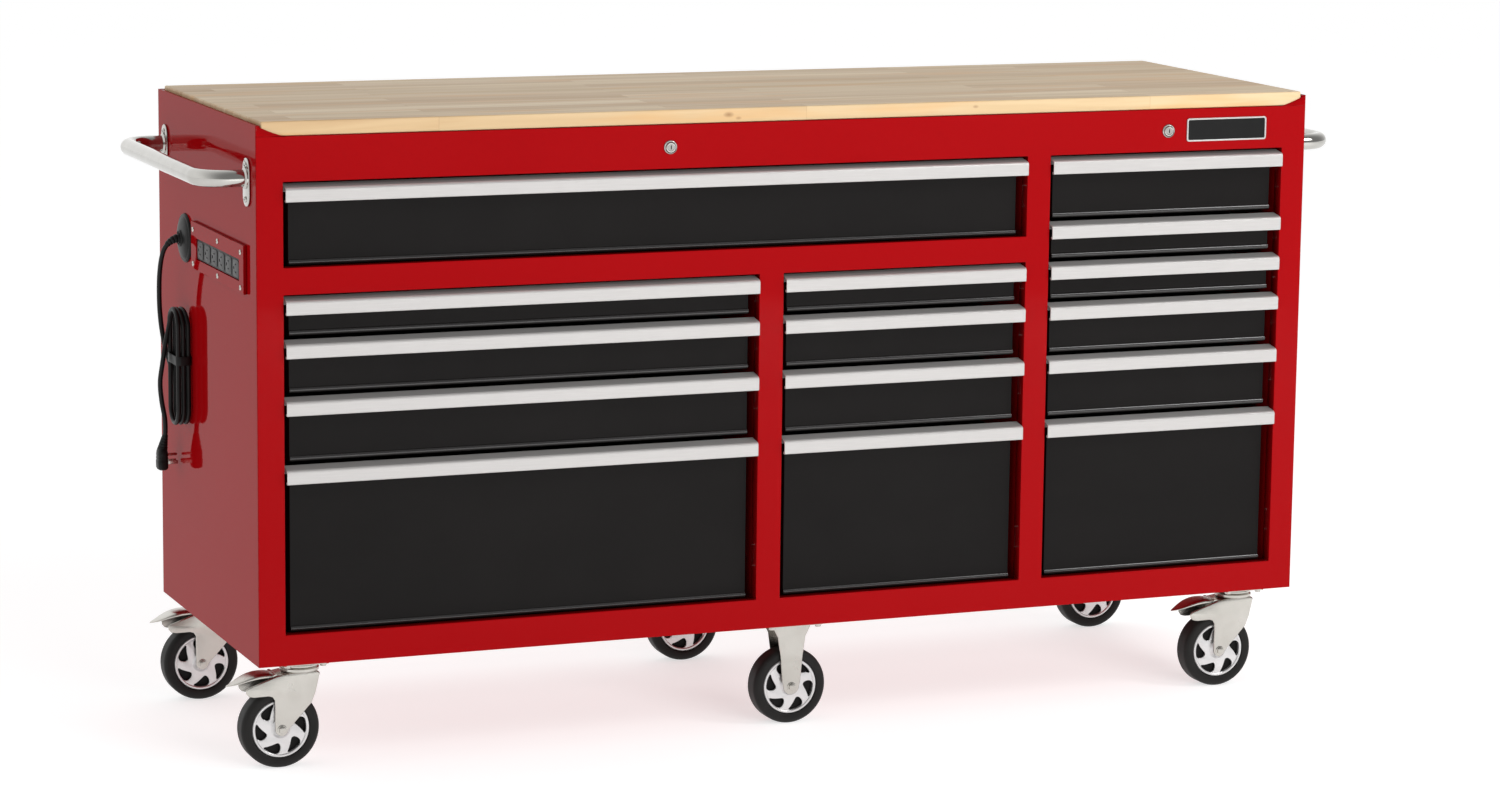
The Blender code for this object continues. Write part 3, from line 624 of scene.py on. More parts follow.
def butcher_block():
    """Pale staves glued side by side, each with its own tone and grain, under clear coat."""
    look = Look(
        "butcher_block", (0.50, 0.38, 0.24), 0.50,
        Specular_IOR_Level=0.12, Coat_Weight=0.04, Coat_Roughness=0.3,
    )
    staves = look.node("ShaderNodeTexBrick", offset=0.37, offset_frequency=2, squash=1.0)
    look.link(look.place, staves.inputs["Vector"])
    for socket, value in (
        ("Scale", 1.0), ("Mortar Size", 0.0004), ("Mortar Smooth", 0.2), ("Bias", 0.0),
        ("Brick Width", STAVE_LENGTH), ("Row Height", STAVE_WIDTH),
    ):
        staves.inputs[socket].default_value = value
    staves.inputs["Color1"].default_value = (0.0, 0.0, 0.0, 1.0)
    staves.inputs["Color2"].default_value = (1.0, 1.0, 1.0, 1.0)
    staves.inputs["Mortar"].default_value = (0.5, 0.5, 0.5, 1.0)
    tone = look.ramp(
        staves.outputs["Color"],
        (0.0, (0.56, 0.42, 0.25)), (0.35, (0.62, 0.49, 0.31)),
        (0.7, (0.50, 0.345, 0.19)), (1.0, (0.66, 0.53, 0.35)),
    )
    # Each stave shifts the grain, so that lines stop at the glue joints.
    shift = look.node("ShaderNodeVectorMath", operation="MULTIPLY_ADD")
    look.link(staves.outputs["Color"], shift.inputs[0])
    shift.inputs[1].default_value = (3.0, 7.0, 5.0)
    look.link(look.stretched((1.6, 42, 42)), shift.inputs[2])
    grain = look.noise(1.0, 6, distortion=0.9, place=shift.outputs[0])
    pores = look.noise(6.0, 3, place=shift.outputs[0])
    figured = look.mix(look.ramp(grain, (0.35, 0.0), (0.75, 1.0)), tone, (0.62, 0.48, 0.34), "MULTIPLY")
    colour = look.mix(0.55, tone, figured)
    colour = look.mix(look.ramp(pores, (0.62, 0.0), (0.80, 0.35)), colour, (0.45, 0.28, 0.14))
    joint = look.math("MULTIPLY", staves.outputs["Fac"], 0.5)
    colour = look.mix(joint, colour, (0.30, 0.18, 0.09))
    warm = look.ramp(look.noise(2.3, 3, (1.4, 9, 14)), (0.52, 0.0), (0.70, 0.75))
    colour = look.mix(warm, colour, (0.56, 0.34, 0.155))
    for x, y, z, size in KNOTS:
        away = look.node("ShaderNodeVectorMath", operation="DISTANCE")
        narrow = look.node("ShaderNodeMapping")
        narrow.inputs["Location"].default_value = (-x * 0.5, -y, -z)
        narrow.inputs["Scale"].default_value = (0.5, 1, 1)
        look.link(look.place, narrow.inputs["Vector"])
        look.link(narrow.outputs["Vector"], away.inputs[0])
        ring = look.math("DIVIDE", away.outputs["Value"], size)
        dark = look.ramp(ring, (0.0, 1.0), (1.0, 0.0))
        colour = look.mix(dark, colour, (0.20, 0.10, 0.045))
    look.link(colour, look.shader.inputs["Base Color"])
    look.roughness(grain, 0.34, 0.50)
    height = look.math("SUBTRACT", grain, staves.outputs["Fac"])
    look.bump(height, 0.0002, 0.5)
    return look.material


RED = red_paint()
BLACK = black_paint()
BLACK_EDGE = black_edge_paint()
ALUMINIUM = aluminium()
CHROME = chrome()
ZINC = zinc()
RIM_SILVER = cast_rim()
TYRE = tyre_rubber()
PLASTIC = moulded_black("black_moulded_plastic", 0.005, 0.42)
JACKET = moulded_black("cord_jacket", 0.006, 0.34)
GREY_PLASTIC = moulded_black("grey_moulded_plastic", 0.035, 0.38)
BLACK_CORE_AND_KEYWAY_SHADE = black_core_and_keyway_shade()
WOOD = butcher_block()


# Camera


def make_camera():
    """Camera from its place, its yaw, pitch and roll, and its lens."""
    ahead = Vector((
        math.sin(CAMERA_YAW) * math.cos(CAMERA_PITCH),
        math.cos(CAMERA_YAW) * math.cos(CAMERA_PITCH),
        -math.sin(CAMERA_PITCH),
    ))
    level = Vector((math.cos(CAMERA_YAW), -math.sin(CAMERA_YAW), 0))
    upright = level.cross(ahead)
    c, s = math.cos(CAMERA_ROLL), math.sin(CAMERA_ROLL)
    right, up = level * c + upright * s, upright * c - level * s
    data = bpy.data.cameras.new("camera")
    data.lens = CAMERA_LENS
    data.shift_x, data.shift_y = CAMERA_SHIFT
    data.clip_end = 200
    camera = placed("camera", data)
    turn = Matrix((right, up, -ahead)).transposed().to_4x4()
    camera.matrix_world = Matrix.Translation(CAMERA_PLACE) @ turn
    bpy.context.scene.camera = camera


# Cord and plug


def hank_points():
    """The tied part: down and up two strands, one layer further off the side at each top fold."""
    front, rear = HANK_STRANDS
    middle, radius = (front + rear) / 2, (rear - front) / 2
    bottom, top = HANK_FOLDS
    points = []
    for number, layer in enumerate(HANK_LAYERS):
        onward = HANK_LAYERS[number + 1] if number + 1 < len(HANK_LAYERS) else layer + 0.0010
        points += [(layer, y, z) for y, z in arc((middle, bottom), radius, 0, -180, FOLD_STEPS)]
        points += [(layer, front, bottom + (top - bottom) * i / 4) for i in (1, 2, 3)]
        for i, (y, z) in enumerate(arc((middle, top), radius, 180, 0, FOLD_STEPS)):
            points.append((layer + (onward - layer) * i / FOLD_STEPS, y, z))
        if number + 1 < len(HANK_LAYERS):
            points += [(onward, rear, top - (top - bottom) * i / 4) for i in (1, 2, 3)]
    return points


def power_cord():
    """One cord from the strain relief, through the tied hank, to the plug."""
    route = [*LEAD_ROUTE, *hank_points(), *TAIL_ROUTE]
    whole = [off_left_side(p) for p in smooth_route(route, 0.001)]
    travelled, used = 0.0, []
    length = length_of(whole)
    for a, b in zip(whole, whole[1:]):
        if BOOT_LENGTH - BOOT_OVERLAP <= travelled <= length - BOOT_LENGTH + BOOT_OVERLAP:
            used.append(a)
        travelled += (b - a).length
    line = used[::round(CORD_STEP / 0.001)]
    curve = bpy.data.curves.new("power_cord", "CURVE")
    curve.dimensions = "3D"
    curve.bevel_depth = CORD_DIAMETER / 2
    curve.bevel_resolution = 4
    curve.use_fill_caps = True
    spline = curve.splines.new("POLY")
    spline.points.add(len(line) - 1)
    for point, place in zip(spline.points, line):
        point.co = (*place, 1)
    spline.use_smooth = True
    curve.materials.append(JACKET)
    cord = placed("power_cord", curve)
    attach(cord, "cabinet")
    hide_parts("cord_lead", "cord_tail", "cord_hank")
    return cord, line


def ribbed_boot(name, route):
    """Tapered strain relief with grooves round it, along the first part of a route."""
    line = smooth_route(route, FINE_STEP)
    count = round(BOOT_LENGTH / FINE_STEP)
    places = [off_left_side(line[round(count * i / BOOT_STEPS)]) for i in range(BOOT_STEPS + 1)]
    radii = []
    for i in range(BOOT_STEPS + 1):
        share = i / BOOT_STEPS
        taper = BOOT_RADII[0] + (BOOT_RADII[1] - BOOT_RADII[0]) * share
        groove = 0.13 * max(0.0, math.sin(2 * math.pi * BOOT_RIBS * share)) ** 2
        radii.append(taper * (1 - groove * (0.15 < share < 0.97)))
    return add(name, sweep(name, places, radii, 32), PLASTIC)


def plug_piece():
    """Right-angle plug: a moulded body with finger grips, a tapered boot and three pins."""
    low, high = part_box("plug")
    half_x, half_y = PLUG_HALF
    centre_x, centre_y = low.x + half_x, (low.y + high.y) / 2
    foot = low.z
    stations = [
        # height, share of the full width, squareness
        (0.0000, 0.62, 3.0), (0.0012, 0.84, 3.4), (0.0040, 0.97, 3.8), (0.0150, 1.00, 4.0),
        (0.0170, 0.93, 4.0), (0.0182, 0.93, 4.0), (0.0200, 0.99, 3.8), (0.0220, 0.93, 3.8),
        (0.0232, 0.93, 3.8), (0.0250, 0.97, 3.6), (0.0310, 0.92, 3.2), (0.0350, 0.82, 2.8),
        (0.0380, 0.68, 2.2),
    ]
    body = [(centre_x, centre_y, foot + z, half_x * w, half_y * w, n) for z, w, n in stations]
    plug = add("plug_body", loft("plug_body", body), PLASTIC, stands_for=("plug",))
    boot = ribbed_boot("plug_boot", list(reversed(TAIL_ROUTE)))
    pins = []
    reach, root = high.x, centre_x + half_x - 0.002
    middle = foot + 0.019
    for y in (-0.0064, 0.0064):
        blade = block("blade", (root, centre_y + y - 0.0008, middle - 0.0092),
                      (reach, centre_y + y + 0.0008, middle - 0.0028), 0.0005, 2)
        pins.append(blade)
    rod = [(0, 0), (0.0024, 0), (0.0024, reach - root - 0.0016), (0.0014, reach - root), (0, reach - root)]
    pins.append(lathe("earth_pin", rod, (root, centre_y, middle + 0.0060), (1, 0, 0), 20))
    prongs = add("plug_pins", merged("plug_pins", pins), ZINC)
    return [plug, boot, prongs]


def cord_tie():
    """Strap round the hank, close against the side."""
    front, rear = HANK_STRANDS
    margin = CORD_DIAMETER / 2 + 0.0006
    near, far = -SIDE - 0.0006, -SIDE - HANK_LAYERS[-1] - margin
    centre = ((near + far) / 2, (front + rear) / 2)
    wide, deep = near - far, rear - front + 2 * margin
    outer = rounded_rectangle(centre, wide, deep + 0.0024, 0.008)
    inner = rounded_rectangle(centre, wide - 0.0024, deep, 0.0068)
    strap = slab("cord_strap", [outer, inner], *TIE_Z, "Z", 0.0004)
    return add("cord_strap", strap, JACKET)


def outlet_cover():
    """Domed cover with a rolled rim and a collar for the strain relief."""
    low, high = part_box("cord_outlet")
    radius = (high.z - low.z) / 2
    place = (-SIDE - 0.0003, (low.y + high.y) / 2, (low.z + high.z) / 2)
    profile = [
        (0, 0.0104), (0.0105, 0.0104), (0.0112, 0.0118), (0.0126, 0.0122), (0.0138, 0.0112), (0.0146, 0.0098),
        (0.0200, 0.0092), (0.0260, 0.0082), (0.0310, 0.0068), (0.0345, 0.0050), (0.0357, 0.0040),
        (0.0366, 0.0044), (0.0378, 0.0042), (0.0392, 0.0030), (radius, 0.0016), (radius, 0.0), (0, 0),
    ]
    dome = lathe("cord_outlet_cover", profile, place, (-1, 0, 0), 96, 45)
    return add("cord_outlet_cover", dome, PLASTIC, stands_for=("cord_outlet",))


def cord_set():
    cord, line = power_cord()
    outlet_cover()
    boot = ribbed_boot("cord_strain_relief", LEAD_ROUTE)
    tie = cord_tie()
    on_cord = [*plug_piece(), boot, tie]


# Case


END_GAP = 0.002
TOP_GAP = 0.004
FOOT_GAP = 0.0015


def opening_limits():
    """The drawer openings in the front frame, from the pulls and drawers in them."""
    spans = {}
    for column, last in (("wide", 1), ("left", 4), ("middle", 4), ("right", 6)):
        low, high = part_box(f"pull_{column}_1")
        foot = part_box(f"drawer_{column}_{last}")[0].z - FOOT_GAP
        spans[column] = (low.x - END_GAP, high.x + END_GAP, foot, high.z + TOP_GAP)
    return spans


FLANGE_DEPTH = 0.022
LIP_DEPTH = 0.012
RAMP_WIDTH = 0.048
RAMP_STEPS = 10
RAMP_CURVE = 1.3
RAIL_TOP = 1.006
END_INSET = 0.0002
CORNER_FOLD = 0.003
FOLD_RADIUS = 0.0024


def apart(values):
    """The values in order, without repeats."""
    values = sorted(values)
    return values[:1] + [b for a, b in zip(values, values[1:]) if b - a > 1e-5]


def front_frame():
    """Front sheet with flanges folded back round each opening, and a ramp up at both top ends."""
    spans = opening_limits()
    end, ramp = SIDE - END_INSET, SIDE - RAMP_WIDTH
    xs = apart([-end, end, -ramp, ramp, *(x for span in spans.values() for x in span[:2])])
    zs = apart([CASE_LOW.z, RAIL_TOP, *(z for span in spans.values() for z in span[2:])])
    bm = bmesh.new()

    def opened(x, z):
        return any(x0 < x < x1 and z0 < z < z1 for x0, x1, z0, z1 in spans.values())

    corner = {}

    def vertex(x, z):
        key = (round(x, 5), round(z, 5))
        if key not in corner:
            corner[key] = bm.verts.new((x, FRONT, z))
        return corner[key]

    for x0, x1 in zip(xs, xs[1:]):
        for z0, z1 in zip(zs, zs[1:]):
            if not opened((x0 + x1) / 2, (z0 + z1) / 2):
                bm.faces.new((vertex(x0, z0), vertex(x1, z0), vertex(x1, z1), vertex(x0, z1)))
    for sign in (-1, 1):
        slope = []
        for i in range(1, RAMP_STEPS + 1):
            share = i / RAMP_STEPS
            x = sign * (end - (RAMP_WIDTH - END_INSET) * (1 - share))
            slope.append(vertex(x, RAIL_TOP + (CASE_HIGH.z - RAIL_TOP) * share ** RAMP_CURVE))
        bm.faces.new([vertex(sign * ramp, RAIL_TOP), vertex(sign * end, RAIL_TOP), *reversed(slope)])
    bmesh.ops.recalc_face_normals(bm, faces=bm.faces)
    if sum(face.normal.y for face in bm.faces) > 0:
        bmesh.ops.reverse_faces(bm, faces=bm.faces)

    def fold(edges, depth):
        made = bmesh.ops.extrude_edge_only(bm, edges=edges)["geom"]
        moved = [v for v in made if isinstance(v, bmesh.types.BMVert)]
        bmesh.ops.translate(bm, vec=(0, depth, 0), verts=moved)

    inner, sill, top, ends = [], [], [], []
    for edge in [edge for edge in bm.edges if edge.is_boundary]:
        middle = (edge.verts[0].co + edge.verts[1].co) / 2
        if abs(middle.z - CASE_LOW.z) < 1e-4:
            sill.append(edge)
        elif abs(abs(middle.x) - end) < 1e-4:
            ends.append(edge)
        elif middle.z > RAIL_TOP - 1e-4:
            top.append(edge)
        else:
            inner.append(edge)
    fold(inner, FLANGE_DEPTH)
    fold(sill, LIP_DEPTH)
    fold(ends, CORNER_FOLD)
    fold([e for e in top if max(v.co.z for v in e.verts) < RAIL_TOP + 1e-4], LIP_DEPTH)
    mesh = mesh_of(bm, "front_frame_sheet")
    piece = add("front_frame_sheet", mesh, RED, stands_for=("front_frame",))
    soften(piece, FOLD_RADIUS, 4)
    sheet = piece.modifiers.new("sheet", "SOLIDIFY")
    sheet.thickness = SHEET
    sheet.offset = -1
    return piece


def case():
    front_frame()
    finish_node("cabinet_wrap", RED, 0.0006)
    finish_node("base_and_dividers", RED, 0.0005)
    finish_node("wood_top", WOOD, 0.0012, 3)


# Drawers

HEM_DEPTH = 0.0025
HEM_ROLL = 0.0031
HEM_HALF = 0.0042
HEM_MIDDLE = 0.0048
SLIDE_HEIGHTS = (0.036, 0.026)
SLIDE_DEPTH = 0.0052
SLIDE_SHEET = 0.0012
SLIDE_LENGTH = 0.440
SLIDE_SETBACK = 0.075
SLIDE_HIGHEST = 0.055
SLIDE_OFF_MIDDLE = 0.004
CASE_SIDE_OFF = 0.0133
BOX_SIDE_DROP = 0.016


def slide_member(x, outward, z, height, start):
    """One channel of a drawer slide, open away from what it is screwed to."""
    far = x + outward * SLIDE_DEPTH
    t = SLIDE_SHEET * outward
    low, high = z - height / 2, z + height / 2
    section = [
        (x, low), (far, low), (far, low + SLIDE_SHEET * 2), (far - t, low + SLIDE_SHEET * 2),
        (far - t, low + SLIDE_SHEET), (x + t, low + SLIDE_SHEET), (x + t, high - SLIDE_SHEET),
        (far - t, high - SLIDE_SHEET), (far - t, high - SLIDE_SHEET * 2), (far, high - SLIDE_SHEET * 2),
        (far, high), (x, high),
    ]
    return slab("slide", [section], start, start + SLIDE_LENGTH, "Y")


def foot_hem(name, low, high):
    """Rolled hem along the foot of a drawer front."""
    face = low.y + HEM_DEPTH
    roll = [(face - HEM_ROLL * math.sin(a), low.z + HEM_MIDDLE + HEM_HALF * math.cos(a))
            for a in (math.pi * i / 14 for i in range(15))]
    outline = [(face + 0.0002, low.z + HEM_MIDDLE + HEM_HALF), *roll, (face + 0.0002, low.z + 0.0004)]
    mesh = slab("foot_hem", [outline], low.x + 0.0004, high.x - 0.0004, "X", sharp=50)
    add(f"foot_hem_{name}", mesh, BLACK_EDGE, f"drawer_{name}")


def drawers():
    for name in DRAWERS:
        finish_node(f"drawer_{name}", BLACK, 0.0006)
        finish_node(f"pull_{name}", ALUMINIUM, 0.0005, 3)
        low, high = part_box(f"drawer_{name}")
        foot_hem(name, low, high)
        box_middle = (low.z + high.z - BOX_SIDE_DROP) / 2
        height = min(low.z + SLIDE_HIGHEST, box_middle + SLIDE_OFF_MIDDLE)
        start = low.y + SLIDE_SETBACK
        case_side, drawer_side = [], []
        for edge, outward in ((low.x, -1), (high.x, 1)):
            case_edge = edge + outward * CASE_SIDE_OFF
            case_side.append(slide_member(case_edge, -outward, height, SLIDE_HEIGHTS[0], start))
            drawer_side.append(slide_member(edge + outward * GAP, outward, height, SLIDE_HEIGHTS[1], start))
        add(f"slide_case_side_{name}", merged("slide_case_side", case_side), ZINC)
        add(f"slide_drawer_side_{name}", merged("slide_drawer_side", drawer_side), ZINC, f"drawer_{name}")


# Casters

WHEEL_RADIUS = 0.0635
SHOULDER = 0.0085
TYRE_HALF = 0.019
RIM_RADIUS = 0.0465
RIM_FACE = 0.0165
HUB_RADIUS = 0.0135
FORK_HALF = 0.024
CROWN_TOP = 0.1545
SWIVEL_CEILING = 0.1500
RIGID_CEILING = 0.1620
FORK_SHEET = 0.0025
WINDOW = (
    (0.0402, 0), (0.0418, 9), (0.0421, 21), (0.0413, 33), (0.0376, 40.5), (0.0318, 43),
    (0.0264, 41), (0.0240, 34), (0.0256, 25), (0.0300, 15), (0.0355, 6),
)
WINDOWS = 6
WHEEL_TURNS = {
    "front_left": 14, "front_middle": 32, "front_right": 20,
    "rear_left": 50, "rear_middle": 5, "rear_right": 40,
}


def window_outline(number):
    """A comma-shaped window: its tip runs out along the rim, its round end reaches in to the hub."""
    points = []
    for radius, turn in WINDOW:
        angle = math.radians(turn + 360 * number / WINDOWS)
        points.append((radius * math.cos(angle), radius * math.sin(angle), 0))
    return [(p.x, p.y) for p in smooth_route(points, 0.0022, closed=True)]


def rim_faces():
    """Both dished faces of the rim, with their windows, and the hub between them."""
    discs = []
    for side in (-1, 1):
        outlines = [arc((0, 0), RIM_RADIUS - 0.0035, 0, 360, 72)[:-1]]
        outlines += [[(side * x, y) for x, y in window_outline(n)] for n in range(WINDOWS)]
        low, high = sorted((side * (RIM_FACE - 0.0045), side * (RIM_FACE - 0.0010)))
        discs.append(slab("rim_face", outlines, low, high, "Z", 0.0008))
        lip = [
            (RIM_RADIUS - 0.0052, RIM_FACE - 0.0050), (RIM_RADIUS - 0.0048, RIM_FACE - 0.0004),
            (RIM_RADIUS - 0.0034, RIM_FACE + 0.0007), (RIM_RADIUS - 0.0012, RIM_FACE + 0.0007),
            (RIM_RADIUS, RIM_FACE - 0.0005), (RIM_RADIUS, RIM_FACE - 0.0060),
            (RIM_RADIUS - 0.0052, RIM_FACE - 0.0050),
        ]
        discs.append(lathe("rim_lip", [(r, side * z) for r, z in lip], steps=96))
        cap = [
            (0.0065, RIM_FACE - 0.0012), (HUB_RADIUS + 0.0025, RIM_FACE - 0.0012),
            (HUB_RADIUS, RIM_FACE + 0.0012), (HUB_RADIUS - 0.0020, RIM_FACE + 0.0042),
            (0.0065, RIM_FACE + 0.0044), (0.0065, RIM_FACE - 0.0012),
        ]
        discs.append(lathe("hub_cap", [(r, side * z) for r, z in cap], steps=48))
    return merged("rim", discs, 30)


def tyre_profile():
    """Round-shouldered tread with a bead where the tyre meets the rim."""
    outer, bead = WHEEL_RADIUS, RIM_RADIUS
    half = [(bead + r, TYRE_HALF - z) for r, z in ((0.0002, 0.0060), (0.0010, 0.0018), (0.0030, 0.0006))]
    half += arc((outer - SHOULDER, TYRE_HALF - SHOULDER), SHOULDER, 78, 8, 7)
    half.append((outer, TYRE_HALF - 0.0120))
    return mirrored(half)


def wheel(name, place, turn):
    """Tyre, cast rim with swirled windows, and the dark core seen through them."""
    axis = (0, 1, 0)
    tyre = lathe("tyre", tyre_profile(), place, axis, 128, 40)
    add(f"tyre_{name}", tyre, TYRE, f"wheel_{name}", (f"wheel_{name}",))
    rim = rim_faces()
    rim.transform(stand_on(axis, place) @ Matrix.Rotation(math.radians(turn), 4, "Z"))
    add(f"rim_{name}", rim, RIM_SILVER, f"wheel_{name}")
    half = [(0.0065, 0.0105), (0.0200, 0.0085), (0.0395, 0.0085), (0.0415, 0.0110), (RIM_RADIUS, 0.0110)]
    core = lathe("rim_core", mirrored(half), place, axis, 64)
    add(f"rim_core_{name}", core, BLACK_CORE_AND_KEYWAY_SHADE, f"wheel_{name}")


def hex_head(place, axis, across, height):
    """Bolt head with chamfered corners."""
    bm = bmesh.new()
    bmesh.ops.create_cone(bm, cap_ends=True, segments=6, radius1=across / 2, radius2=across / 2, depth=height)
    rim = [e for e in bm.edges if all(v.co.z > 0 for v in e.verts)]
    bmesh.ops.bevel(bm, geom=rim, offset=height * 0.22, segments=2, profile=0.5, affect="EDGES")
    bm.transform(stand_on(axis, place) @ Matrix.Translation((0, 0, height / 2)))
    return mesh_of(bm, "hex_head", 25)


def pan_head(place, axis, radius, height):
    """Screw head with a crowned top and a cross recess."""
    profile = [(0, 0), (radius, 0), (radius, height * 0.35)]
    profile += [(radius * math.cos(a), height * (0.35 + 0.65 * math.sin(a))) for a in (0.35, 0.75, 1.15)]
    profile.append((0, height))
    head = lathe("pan_head", profile, steps=32)
    arm, slot = radius * 0.55, radius * 0.13
    cutters = [
        block("cross", (-arm, -slot, height * 0.45), (arm, slot, height * 1.5)),
        block("cross", (-slot, -arm, height * 0.45), (slot, arm, height * 1.5)),
    ]
    head = subtract(head, cutters)
    head.transform(stand_on(axis, place))
    return head


def axle_bolt(place):
    """Bolt head on one cheek and nut on the other, with washers."""
    parts = []
    for sign in (-1, 1):
        face = Vector(place) + Vector((0, sign * FORK_HALF, 0))
        washer = [(0, 0), (0.0078, 0), (0.0078, 0.0010), (0.0070, 0.0013), (0, 0.0013)]
        parts.append(lathe("washer", washer, face, (0, sign, 0), 32))
        parts.append(hex_head(face + Vector((0, sign * 0.0012, 0)), (0, sign, 0), 0.0125, 0.0032))
    return parts


def raceway(x, y, low, high):
    """Ball race between the fork's crown and the plate: two pressed rings with a groove between."""
    rise = high - low
    profile = [
        (0, 0), (0.0300, 0), (0.0315, rise * 0.10), (0.0315, rise * 0.34), (0.0295, rise * 0.46),
        (0.0280, rise * 0.50), (0.0295, rise * 0.54), (0.0300, rise * 0.70), (0.0285, rise * 0.92),
        (0.0265, rise), (0, rise),
    ]
    return lathe("raceway", profile, (x, y, low), (0, 0, 1), 64)


def cheeks(name, outline, place, ceiling):
    """Pressed fork: a rounded profile as wide as the fork, with the wheel's space taken out."""
    solid = slab(name, [outline], -FORK_HALF, FORK_HALF, "Y", 0.0020)
    inside = FORK_HALF - FORK_SHEET
    room = block("room", (-0.15, -inside, -0.05), (0.15, inside, ceiling))
    fork = subtract(solid, [room], 32)
    fork.transform(Matrix.Translation(place))
    return fork


def swivel_caster(name, pivot, axle):
    """Fork with a raceway on top, trailing axle and brake pedal."""
    x, y = pivot[0], pivot[1]
    trail = axle[0] - x
    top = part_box(f"fork_{name}")[1].z
    crown = CROWN_TOP
    outline = [
        *arc((0.0215, crown - 0.0065), 0.0065, 20, 90, 4),
        (-0.0200, crown - 0.0006), (-0.0420, crown - 0.0040),
        (-0.0640, 0.1432), (-0.0900, 0.1345), (-0.0932, 0.1312), (-0.0925, 0.1252), (-0.0880, 0.1200),
        (-0.0800, 0.1182), (-0.0560, 0.1186), (-0.0500, 0.1168), (-0.0462, 0.1110),
        *arc((trail, axle[2]), 0.0108, 184, 352, 10), (0.0140, 0.1040), (0.0205, 0.1210), (0.0258, 0.1440),
    ]
    parts = [cheeks("fork", outline, (x, y, 0), SWIVEL_CEILING)]
    parts.append(raceway(x, y, crown - 0.0006, top))
    parts += axle_bolt(axle)
    fork = merged("swivel_fork", parts, 32)
    add(f"swivel_fork_{name}", fork, ZINC, f"fork_{name}", (f"fork_{name}",))
    brake_pedal(name, x, y)
    caster_plate(f"caster_plate_{name}", x, y, 0.0364, 0.0434)


def caster_plate(name, x, y, half_x, half_y):
    """Mounting plate with four bolts under the case."""
    low = CASE_LOW.z - 0.0041
    outline = rounded_rectangle((x, y), 2 * half_x, 2 * half_y, 0.006)
    parts = [slab("plate", [outline], low, CASE_LOW.z - 0.0001, "Z", 0.0006)]
    for sx in (-1, 1):
        for sy in (-1, 1):
            place = (x + sx * (half_x - 0.0075), y + sy * (half_y - 0.0075), low + 0.0002)
            parts.append(hex_head(place, (0, 0, -1), 0.0115, 0.0045))
    add(name, merged("caster_plate", parts, 30), ZINC)


def rigid_caster(row, axle):
    """Straight fork fixed to its own plate."""
    x, y, hub = axle
    neck = CASE_LOW.z - 0.0040
    outline = [
        (0.0330, neck), (0.0322, neck - 0.0070), (0.0245, 0.1480), (0.0198, 0.1150), (0.0160, 0.0720),
        *arc((0, hub), 0.0138, 0, -180, 12), (-0.0160, 0.0720), (-0.0198, 0.1150), (-0.0245, 0.1480),
        (-0.0322, neck - 0.0070), (-0.0330, neck),
    ]
    parts = [cheeks("fork", outline, (x, y, 0), RIGID_CEILING), *axle_bolt(axle)]
    name = f"{row}_middle"
    fork = merged("rigid_fork", parts, 32)
    add(f"rigid_fork_{name}", fork, ZINC, stands_for=(f"fork_{name}",))
    caster_plate(f"caster_plate_{name}", x, y, 0.0484, 0.0434)


PIN_RADIUS = 0.0045
PIN_Z = 0.1485
PEDAL_ARCH = ((-1, 1.0), (-1, 0.18), (-0.62, 0.03), (0, 0.0), (0.62, 0.03), (1, 0.18), (1, 1.0))
PEDAL_STATIONS = (
    # distance out from the kingpin, height of the spine, half width, how far the sides turn down
    (0.0440, 0.1528, 0.0190, 0.0070),
    (0.0560, 0.1548, 0.0196, 0.0078),
    (0.0700, 0.1546, 0.0200, 0.0080),
    (0.0840, 0.1512, 0.0196, 0.0070),
    (0.0960, 0.1458, 0.0168, 0.0050),
    (0.1070, 0.1402, 0.0112, 0.0030),
    (0.1150, 0.1368, 0.0056, 0.0016),
    (0.1198, 0.1352, 0.0014, 0.0008),
)


def brake_pedal(name, x, y):
    """Pressed lever: arched across, sides turned down, drawn out to a point at its tip."""
    bm = bmesh.new()
    rows = []
    for out, height, half, drop in PEDAL_STATIONS:
        row = []
        for share, fall in PEDAL_ARCH:
            row.append(bm.verts.new((x - out, y + half * share, height - drop * fall)))
        rows.append(row)
    for a, b in zip(rows, rows[1:]):
        for i in range(len(a) - 1):
            bm.faces.new((a[i], a[i + 1], b[i + 1], b[i]))
    bmesh.ops.recalc_face_normals(bm, faces=bm.faces)
    if sum(face.normal.z for face in bm.faces) < 0:
        bmesh.ops.reverse_faces(bm, faces=bm.faces)
    mesh = bpy.data.meshes.new("pedal")
    bm.to_mesh(mesh)
    bm.free()
    mesh.shade_smooth()
    pedal = add(f"brake_pedal_{name}", mesh, ZINC, f"pedal_{name}", (f"pedal_{name}",))
    sheet = pedal.modifiers.new("sheet", "SOLIDIFY")
    sheet.thickness = 0.0016
    sheet.offset = -1
    smooth = pedal.modifiers.new("smooth", "SUBSURF")
    smooth.levels = smooth.render_levels = 2
    low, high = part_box(f"pedal_{name}")
    wide = high.y - low.y
    profile = [
        (0, 0), (0.0042, 0), (PIN_RADIUS, 0.0003), (PIN_RADIUS, wide - 0.0003), (0.0042, wide), (0, wide),
    ]
    pin = lathe("pin", profile, (high.x - PIN_RADIUS, low.y, PIN_Z), (0, 1, 0), 24)
    add(f"pedal_pin_{name}", pin, ZINC, f"pedal_{name}")


def casters():
    for name in CORNERS:
        pivot = JOINTS[f"caster_{name}_swivel"]["pos_m"]
        axle = JOINTS[f"wheel_{name}_spin"]["pos_m"]
        swivel_caster(name, pivot, axle)
    for row in ROWS:
        rigid_caster(row, JOINTS[f"wheel_{row}_middle_spin"]["pos_m"])
    for name, turn in WHEEL_TURNS.items():
        wheel(name, JOINTS[f"wheel_{name}_spin"]["pos_m"], turn)


# Fittings

HANDLE_TUBE = 0.0135
HANDLE_BEND = 0.045
BRACKET = (0.034, 0.076)
BRACKET_THICKNESS = 0.003
BARREL_RADIUS = 0.0088


